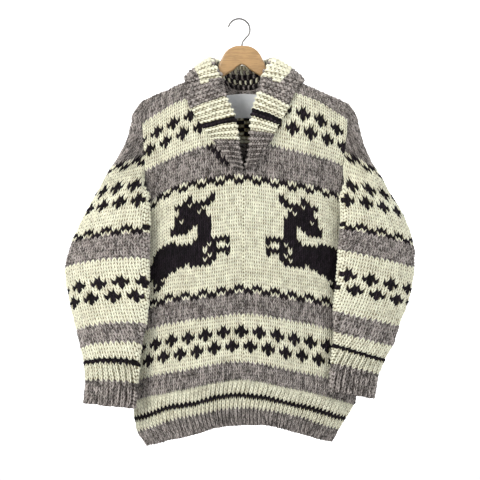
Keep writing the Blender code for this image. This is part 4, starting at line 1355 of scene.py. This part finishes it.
def finish(name):
    """The material of this name. All are made the first time."""
    if name not in bpy.data.materials:
        colours = bpy.context.scene.pullover_colours
        # The last tint of each wool is the colour of the shade painted between its yarns
        wool("cream wool", colours.cream, 1.55, 1.5, 220.0, 0.6, (0.24, 0.21, 0.14))
        wool("grey wool", colours.grey, 8.0, 5.4, 290.0, 0.9, (0.20, 0.17, 0.16))
        wool("dark wool", colours.dark, 6.0, 3.0, 300.0, 0.9, (0.25, 0.25, 0.25))
        beech("beech wood", colours.wood)
        steel("hook steel")
        label_weave("label weave", colours.label)
    return bpy.data.materials[name]


# ---------------------------------------------------------------- colour charts

CREAM, GREY, DARK = 0, 1, 2
YARNS = ("Cream", "Grey", "Dark")

# First row of each band of the body and of a sleeve, from the hem or cuff up
BODY_BANDS = (
    (0, GREY), (5, CREAM), (8, DARK), (9, CREAM), (13, GREY), (18, CREAM), (31, GREY),
    (37, CREAM), (69, GREY), (78, CREAM), (93, GREY),
)
SLEEVE_BANDS = (
    (0, GREY), (7, CREAM), (12, DARK), (13, CREAM), (17, GREY), (22, CREAM), (40, GREY),
    (47, CREAM), (67, GREY),
)
# Diamonds: first row, and the stitch that one is centred on, of four
BODY_DIAMONDS = ((21, 1), (25, 3), (82, 2), (86, 0))
SLEEVE_DIAMONDS = {
    "left": ((28, 2), (32, 0), (54, 1), (58, 3)),
    "right": ((28, 0), (32, 2), (54, 0), (58, 2)),
}
# Dotted rows: row, and the first dark stitch of two, of four
BODY_DOTS = ((37, 0), (38, 2), (67, 2), (68, 0))
SLEEVE_DOTS = ((47, 0), (48, 2), (65, 0), (66, 2))

# A leaping deer that looks back, knitted from the bottom row of this chart up
DEER = """
..........X....X....
.........XX...XX....
.......XXX.XXXX.....
........XXXXX.......
........XXXX.X......
.......XXXXXXX......
.......X.XXXXXX.....
.......XXXXXXXX.....
......XXXXX.XXX.....
......XXXX..XXX.....
............XXX.....
............XXX.....
..XXXXX....XXXXXXXX.
.XXXXXXXXXXXXX.X..X.
.XXXXXXXXXXXX.XX....
XXXXXXXXXXXXX.XXXXX.
XXXXXXXXXXXXXX.X..X.
XXXXXXXXXXXXX.XX....
XXXXXXXXX.XXXXX.....
XXXXXXX.............
.XXXX...............
.XX.................
..XX................
.XX.................
""".split()
DEER_ROW = 41
DEER_STITCHES = (-22, 4)  # first stitch of each; the second one faces the first
FLOATS_TOP_ROW = 93  # inside the back, from here up nothing shows of the dark yarn's floats

# Dark stitches of the front along the left lapel's foot
LAPEL_FOOT = ((-8, 77), (-7, 76), (-6, 75), (-6, 74), (-5, 73), (-4, 72))

# Colours of the collar by the body's row that it lies at
LAPEL_BANDS = {
    "left": ((0, GREY), (77.8, CREAM), (82.6, DARK), (84.2, CREAM), (89.9, GREY)),
    "right": ((0, GREY), (79.7, CREAM), (84.7, DARK), (86.3, CREAM), (91.4, GREY)),
}
# Yarns of the first stitches inside the back neck, which take turns every two lines
NECK_CHECKS = ((GREY, DARK), (DARK, CREAM), (GREY, DARK), (CREAM, GREY))


def band(bands, row):
    return [yarn for first, yarn in bands if row >= first][-1]


def in_diamonds(diamonds, stitch, row):
    """Plus shapes of 1, 3 and 1 stitches, four stitches apart."""
    return any(
        (row - first == 1 and (stitch - centre) % 4 != 2)
        or (row - first in (0, 2) and (stitch - centre) % 4 == 0)
        for first, centre in diamonds
    )


def in_dots(dots, stitch, row):
    return any(row == level and (stitch - first) % 4 < 2 for level, first in dots)


def in_deer(stitch, row):
    line = DEER_ROW + len(DEER) - 1 - row
    if not 0 <= line < len(DEER):
        return False
    first, second = stitch - DEER_STITCHES[0], DEER_STITCHES[1] + len(DEER[0]) - 1 - stitch
    return any(0 <= place < len(DEER[0]) and DEER[line][place] == "X" for place in (first, second))


def body_colour(stitch, row):
    dark = in_diamonds(BODY_DIAMONDS, stitch, row) or in_dots(BODY_DOTS, stitch, row)
    return DARK if dark or in_deer(stitch, row) else band(BODY_BANDS, row)


def sleeve_colour(hand, stitch, row):
    dark = in_diamonds(SLEEVE_DIAMONDS[hand], stitch, row) or in_dots(SLEEVE_DOTS, stitch, row)
    return DARK if dark else band(SLEEVE_BANDS, row)


def front_colour(stitch, row):
    return DARK if (stitch, row) in LAPEL_FOOT else body_colour(stitch, row)


def back_inside_colour(stitch, row):
    """Inside the back neck the dark yarn's floats show as checks."""
    if UNDERARM_ROW < row < FLOATS_TOP_ROW:
        return DARK if (stitch + 2 * row) % 4 < 2 else CREAM
    return body_colour(stitch, row)


def collar_back_colour(stitch, line):
    """Checks inside the neck, cream over the roll, and a grey edge."""
    if stitch < len(NECK_CHECKS):
        return NECK_CHECKS[stitch][line // 2 % 2]
    return CREAM if stitch < COLLAR_STITCHES - EDGE_STITCHES else GREY


# ---------------------------------------------------------------- pieces


def steps_out(stitch):
    """How many stitches lie between a stitch and the line between stitches -1 and 0."""
    return stitch if stitch >= 0 else -1 - stitch


def settle(obj, node):
    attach(obj, "root")
    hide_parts(node)


def knit_object(name, knitting, flat, relief=1.0):
    """Raises the stitches of a knitted piece, and makes it stand for its solid."""
    sizes = bpy.context.scene.pullover_sizes
    yarns = {yarn: finish(yarn.lower() + " wool") for yarn in YARNS}
    stitches = {
        "Stitch Height": sizes.stitch_height * relief,
        "Bump Height": sizes.stitch_height * 1.1 * relief,
        "Sink": sizes.stitch_height * 0.35,
        "Unevenness": sizes.unevenness,
        "Sway": sizes.unevenness * 4.2,
        "Seed": 3.0,
    }
    fibres = {"Density": sizes.fuzz, "Fibre Length": 0.0034, "Fibre Radius": 0.00012, "Seed": 7}
    obj = shaped("knitted_" + name, knitting.mesh(name), stitch_tree(), {**stitches, **yarns})
    settle(obj, name)
    fuzz = shaped("fuzz_" + name, obj.data.copy(), fuzz_tree(), {**fibres, **yarns})
    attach(fuzz, "root")


def in_panel(stitch, row):
    """Whether a body panel has this stitch: above the underarm the armholes narrow it."""
    return row < UNDERARM_ROW or -ARMHOLE_STITCH <= stitch < ARMHOLE_STITCH


def knit_front():
    """The front, in two halves that part at the V opening."""
    knitting = Knitting()

    def locate(stitch, flat, row, side):
        limit = opening_at(flat)
        beyond = side * stitch <= limit
        stitch = np.where(beyond, side * limit, stitch)
        points, outs = body_surface(-1).at(stitch, np.where(beyond, flat, row))
        return points, outs, beyond & (flat > SPLIT_ROW)

    def used(stitch, row):
        return in_panel(stitch, row) and steps_out(stitch) + 1 > opening_at(row)

    for side, stitches in ((-1, (-SIDE_STITCH, 0)), (1, (0, SIDE_STITCH))):
        knitting.block(locate, stitches, (HEM_ROWS, TOP_ROW), front_colour, used, side)
    knit_object("front", knitting, (0.47, 0.63))


def knit_back():
    knitting = Knitting()

    def locate(stitch, flat, row, side):
        return *body_surface(1).at(stitch, scooped_row(row, stitch)), False

    stitches, rows = (-SIDE_STITCH, SIDE_STITCH), (HEM_ROWS, TOP_ROW)
    knitting.block(locate, stitches, rows, body_colour, in_panel, inner=back_inside_colour)
    knit_object("back", knitting, (0.47, 0.63))


def knit_hem(name, face):
    """A hem band, whose ribs are twice as close as the stitches above it."""
    knitting = Knitting()

    def locate(stitch, flat, row, side):
        return *body_surface(face).at(0.5 * stitch, np.maximum(row, 0)), False

    stitches, fade = (-2 * SIDE_STITCH, 2 * SIDE_STITCH), ((0, 11, 13), (1, 1, 0.1))
    knitting.block(
        locate, stitches, (0, HEM_ROWS), body_colour, rib_fade=fade, rise=HEM_RIB_RAISE
    )
    knit_object(name, knitting, (0.47, 0.10), HEM_RELIEF)


def knit_sleeve(hand):
    """A sleeve and its cuff, whose ribs are twice as close, on one surface."""
    surface = SleeveSurface(hand)
    colour = functools.partial(sleeve_colour, hand)
    ribs = {"rib_fade": ((0, 11.5, 13), (1, 1, 0.1))}
    parts = (
        ("sleeve_", (CUFF_ROWS, CAP_ROW), 1, {}, "cream_wool", (0.33, 0.52)),
        ("cuff_", (0, CUFF_ROWS), 2, ribs, "grey_wool", (0.25, 0.095)),
    )
    for name, rows, close, style, slot, flat in parts:

        def locate(stitch, flat, row, side):
            return surface.locate(stitch / close, flat, np.clip(row, 0, rows[1]))

        def used(stitch, row):
            return surface.has(steps_out(stitch) / close, row, -1 if stitch < 0 else 1)

        reach = [surface.last(row, end) for row in range(rows[1] + 1) for end in (-1, 1)]
        last = close * math.ceil(max(reach))
        knitting = Knitting()
        knitting.block(locate, (-last, last), rows, colour, used, **style)
        knit_object(name + hand, knitting, flat)


def knit_collar():
    """The two lapels and the back of the collar, in garter knitting on one surface."""
    surface = CollarSurface()
    first, second = surface.joins
    pieces = (
        ("lapel_left", (0, first), "grey_wool"),
        ("collar_back", (first, second), "cream_wool"),
        ("lapel_right", (second, surface.count), "grey_wool"),
    )

    def colour(stitch, line):
        row = surface.body_row_at(line + 0.5)
        if row > LAPEL_TOP_ROW - 0.3 * max(stitch - len(NECK_CHECKS), 0):
            return collar_back_colour(stitch, line)
        return band(LAPEL_BANDS["left" if line < 0.5 * surface.count else "right"], row)

    for name, lines, slot in pieces:
        knitting = Knitting()
        knitting.block(surface.locate, (0, COLLAR_STITCHES), lines, colour, garter=True)
        knit_object(name, knitting, (0.115, (lines[1] - lines[0]) * GARTER_LINE * MM))


def sew_label():
    """A bare woven label inside the back neck, slightly bowed between its stitches."""
    u, v = np.meshgrid(np.linspace(0, 1, 41), np.linspace(0, 1, 41))
    stitch, row = LABEL_STITCH + LABEL_STITCHES * u, LABEL_ROW + LABEL_ROWS * v
    points, outs = body_surface(1).at(stitch, row)
    lift = 0.7 * np.sin(math.pi * u) * np.sin(math.pi * v) + 0.25 * np.sin(9 * u + 5 * v)
    face = points - (WALL + 1.3 + lift)[..., None] * outs
    rear = points - (WALL + 0.7) * outs
    spots = (np.stack([face, rear]).reshape(-1, 3) + [CENTRE_X, 0, 0]) * MM
    index = np.arange(len(spots)).reshape(2, *u.shape)
    corners = (index[:, :-1, :-1], index[:, 1:, :-1], index[:, 1:, 1:], index[:, :-1, 1:])
    front, back = np.stack(corners, axis=-1).reshape(2, -1, 4)
    rim = (index[:, 0, :-1], index[:, :-1, -1], index[:, -1, :0:-1], index[:, :0:-1, 0])
    here = np.concatenate(rim, axis=1)
    after = np.roll(here, -1, axis=1)
    edge = np.stack([here[0], after[0], after[1], here[1]], axis=-1)
    squares = np.concatenate([front, back[:, ::-1]])
    mesh = bpy.data.meshes.new("label")
    mesh.from_pydata(spots.tolist(), [], np.concatenate([squares, edge]).tolist())
    weave = np.stack([u, v], axis=-1).reshape(-1, 2)[squares.ravel() % u.size]
    lay_uv(mesh, np.concatenate([weave, np.zeros((edge.size, 2))]))
    obj = placed("woven_label", tidied(mesh), finish("label weave"))
    settle(obj, "neck_label")


def from_curve(name, route, radii=None, **settings):
    """A mesh from a curve through points in X and Z, with the curve's settings."""
    curve = bpy.data.curves.new(name, "CURVE")
    for key, value in settings.items():
        setattr(curve, key, value)
    flat = curve.dimensions == "2D"
    spline = curve.splines.new("POLY")
    spline.points.add(len(route) - 1)
    spline.use_cyclic_u = flat
    for k, (point, (x, z)) in enumerate(zip(spline.points, route * MM)):
        point.co = (x, z, 0, 1) if flat else (x, 0, z, 1)
        point.radius = 1.0 if radii is None else radii[k]
    drawn = placed("drawn " + name, curve)
    graph = bpy.context.evaluated_depsgraph_get()
    mesh = bpy.data.meshes.new_from_object(drawn.evaluated_get(graph))
    bpy.data.objects.remove(drawn)
    tidied(mesh, 1e-6, Matrix.Rotation(math.radians(90), 3, "X") if flat else None)
    mesh.set_sharp_from_angle(angle=math.radians(45))
    return mesh


def shape_hanger():
    """The hanger's wooden bar, with round edges, and its wire hook, with a rounded tip."""
    outline = np.array(hanger_outline())
    keys = np.arange(len(outline) + 1)
    fine = np.linspace(0, len(outline), 6 * len(outline), endpoint=False)
    wood = from_curve(
        "wood",
        smooth(fine, keys, np.vstack([outline, outline[:1]])) + [CENTRE_X, 0],
        dimensions="2D",
        fill_mode="BOTH",
        extrude=(0.5 * WOOD_THICKNESS - WOOD_EDGE) * MM,
        bevel_depth=WOOD_EDGE * MM,
        offset=-WOOD_EDGE * MM,
        bevel_resolution=5,
    )
    settle(placed("varnished_hanger", wood, finish("beech wood")), "hanger_wood")
    route = hook_route()
    keys = np.arange(len(route))
    steps = np.linspace(0, keys[-1], 4 * keys[-1] + 1)
    tip = np.minimum(np.arange(len(steps)), 4) / 4
    wire = from_curve(
        "wire",
        smooth(steps, keys, route),
        np.minimum(1.0, np.sqrt(1 - (1 - tip) ** 2) + 0.25),
        dimensions="3D",
        bevel_depth=WIRE_RADIUS * MM,
        bevel_resolution=6,
        use_fill_caps=True,
    )
    settle(placed("wire_hook", wire, finish("hook steel")), "hanger_hook")


# ---------------------------------------------------------------- stage


def build_stage():
    """A pale floor that curves up into a wall all round, soft lights and the camera."""
    floor, bend, radius, height, turns = -1.25, 1.4, 4.6, 5.5, 96
    angles = np.radians(np.linspace(0, 90, 13))
    reach = np.append(radius - bend + bend * np.sin(angles), radius)
    level = np.append(floor + bend * (1 - np.cos(angles)), floor + height)
    turn = np.linspace(0, 2 * math.pi, turns, endpoint=False)[:, None]
    spots = np.stack([reach * np.cos(turn), reach * np.sin(turn), level + 0 * turn], axis=-1)
    index = np.arange(1, 1 + turns * len(reach)).reshape(turns, -1)
    after = np.roll(index, -1, axis=0)
    faces = np.stack([index[:, :-1], index[:, 1:], after[:, 1:], after[:, :-1]], axis=-1)
    fan = np.stack([0 * index[:, 0], index[:, 0], after[:, 0]], axis=-1)
    mesh = bpy.data.meshes.new("studio")
    points = [(0, 0, floor)] + spots.reshape(-1, 3).tolist()
    mesh.from_pydata(points, [], fan.tolist() + faces.reshape(-1, 4).tolist())
    mesh.shade_smooth()
    paint = Paint("studio paint", Roughness=0.9, Specular_IOR_Level=0.1)
    tone = paint.noise(paint.place(), 0.6, 2.0)
    colour = paint.mix(tone, (0.80, 0.81, 0.82, 1), (0.86, 0.86, 0.87, 1))
    placed("studio", mesh, paint.feed(Base_Color=colour))
    middle = (0.0, 0.0, -0.45)
    add_light("key", (-2.1, -2.3, 1.5), middle, 1.2, 110.0, (1.0, 0.99, 0.97))
    add_light("fill", (2.3, -2.4, 0.5), middle, 1.8, 40.0, (0.97, 0.985, 1.0))
    add_light("top", (0.2, 0.4, 2.6), middle, 2.2, 20.0, (1.0, 1.0, 1.0))
    add_light("rear", (0.4, 2.2, 0.3), (0.4, 5.0, 0.0), 2.4, 120.0, (1.0, 1.0, 1.0))
    scene = bpy.context.scene
    scene.world = bpy.data.worlds.new("soft sky")
    scene.world.use_nodes = True
    sky = scene.world.node_tree.nodes["Background"].inputs
    sky["Color"].default_value = (1.0, 1.0, 1.0, 1)
    sky["Strength"].default_value = 0.55
    lens = bpy.data.cameras.new("camera")
    lens.lens, lens.sensor_width, lens.clip_end = 90.0, 36.0, 30.0
    scene.camera = placed("camera", lens)
    scene.camera.location = (0.002, -2.430, -0.446)
    scene.camera.rotation_euler = (math.radians(90), 0, 0)
    scene.view_settings.view_transform = "Standard"


def add_light(name, place, target, size, power, colour):
    light = bpy.data.lights.new(name, "AREA")
    light.shape, light.size, light.energy, light.color = "DISK", size, power, colour
    obj = placed(name, light)
    obj.location = place
    obj.rotation_euler = (Vector(target) - Vector(place)).to_track_quat("-Z", "Y").to_euler()


# ---------------------------------------------------------------- add-on


class PulloverSizes(bpy.types.PropertyGroup):
    """Sizes of the knitting that a user would change."""

    stitch_height: bpy.props.FloatProperty(
        name="Stitch Height",
        description="How far the yarn of a stitch stands out of its groove",
        default=0.0042, min=0.0, max=0.008, unit="LENGTH",
    )
    unevenness: bpy.props.FloatProperty(
        name="Unevenness",
        description="How far hand-knitted stitches stray from an even surface",
        default=0.0013, min=0.0, max=0.004, unit="LENGTH",
    )
    fuzz: bpy.props.FloatProperty(
        name="Fuzz",
        description="Loose fibres on a square metre of knitting",
        default=4500.0, min=0.0, max=20000.0,
    )


class PulloverColours(bpy.types.PropertyGroup):
    """Colours of the yarns, the wood and the label."""

    cream: bpy.props.FloatVectorProperty(
        name="Cream Wool", description="Undyed cream yarn",
        default=(0.86, 0.81, 0.615), min=0.0, max=1.0, subtype="COLOR",
    )
    grey: bpy.props.FloatVectorProperty(
        name="Grey Wool", description="Heather grey yarn",
        default=(0.177, 0.159, 0.146), min=0.0, max=1.0, subtype="COLOR",
    )
    dark: bpy.props.FloatVectorProperty(
        name="Dark Wool", description="Brown-black yarn of the motifs",
        default=(0.0150, 0.0102, 0.0142), min=0.0, max=1.0, subtype="COLOR",
    )
    wood: bpy.props.FloatVectorProperty(
        name="Wood", description="Varnished wood of the hanger",
        default=(0.345, 0.205, 0.083), min=0.0, max=1.0, subtype="COLOR",
    )
    label: bpy.props.FloatVectorProperty(
        name="Label", description="Woven cloth of the bare label",
        default=(0.90, 0.93, 0.95), min=0.0, max=1.0, subtype="COLOR",
    )


class PULLOVER_OT_stage(bpy.types.Operator):
    """Build the studio floor, the soft lights and the camera"""

    bl_idname = "pullover.stage"
    bl_label = "Studio"

    def execute(self, context):
        build_stage()
        return {"FINISHED"}


class PULLOVER_OT_hanger(bpy.types.Operator):
    """Shape the wooden hanger and its hook"""

    bl_idname = "pullover.hanger"
    bl_label = "Hanger"

    def execute(self, context):
        shape_hanger()
        return {"FINISHED"}


class PULLOVER_OT_body(bpy.types.Operator):
    """Knit the front and the back"""

    bl_idname = "pullover.body"
    bl_label = "Front and Back"

    def execute(self, context):
        knit_front()
        knit_back()
        return {"FINISHED"}


class PULLOVER_OT_hems(bpy.types.Operator):
    """Knit the ribbed hem bands"""

    bl_idname = "pullover.hems"
    bl_label = "Hems"

    def execute(self, context):
        knit_hem("hem_front", -1)
        knit_hem("hem_back", 1)
        return {"FINISHED"}


class PULLOVER_OT_sleeves(bpy.types.Operator):
    """Knit both sleeves and their cuffs"""

    bl_idname = "pullover.sleeves"
    bl_label = "Sleeves and Cuffs"

    def execute(self, context):
        knit_sleeve("left")
        knit_sleeve("right")
        return {"FINISHED"}


class PULLOVER_OT_collar(bpy.types.Operator):
    """Knit the shawl collar: two lapels and the back"""

    bl_idname = "pullover.collar"
    bl_label = "Shawl Collar"

    def execute(self, context):
        knit_collar()
        return {"FINISHED"}


class PULLOVER_OT_label(bpy.types.Operator):
    """Sew the bare label into the back neck"""

    bl_idname = "pullover.label"
    bl_label = "Neck Label"

    def execute(self, context):
        sew_label()
        return {"FINISHED"}


class PULLOVER_PT_sidebar(bpy.types.Panel):
    """Lists the pullover's sizes, colours and pieces"""

    bl_label = "Pullover"
    bl_idname = "PULLOVER_PT_sidebar"
    bl_space_type = "VIEW_3D"
    bl_region_type = "UI"
    bl_category = "Pullover"

    def draw(self, context):
        for group in (context.scene.pullover_sizes, context.scene.pullover_colours):
            column = self.layout.column(align=True)
            for key in group.__annotations__:
                column.prop(group, key)
        column = self.layout.column(align=True)
        for operator in OPERATORS:
            column.operator(operator.bl_idname)


OPERATORS = (
    PULLOVER_OT_stage,
    PULLOVER_OT_hanger,
    PULLOVER_OT_body,
    PULLOVER_OT_hems,
    PULLOVER_OT_sleeves,
    PULLOVER_OT_collar,
    PULLOVER_OT_label,
)
CLASSES = (PulloverSizes, PulloverColours, *OPERATORS, PULLOVER_PT_sidebar)


def register():
    for one in CLASSES:
        bpy.utils.register_class(one)
    bpy.types.Scene.pullover_sizes = bpy.props.PointerProperty(type=PulloverSizes)
    bpy.types.Scene.pullover_colours = bpy.props.PointerProperty(type=PulloverColours)


def unregister():
    del bpy.types.Scene.pullover_colours
    del bpy.types.Scene.pullover_sizes
    for one in reversed(CLASSES):
        bpy.utils.unregister_class(one)


def main():
    register()
    bpy.ops.pullover.stage()
    bpy.ops.pullover.hanger()
    bpy.ops.pullover.body()
    bpy.ops.pullover.hems()
    bpy.ops.pullover.sleeves()
    bpy.ops.pullover.collar()
    bpy.ops.pullover.label()


if __name__ == "__main__":
    main()
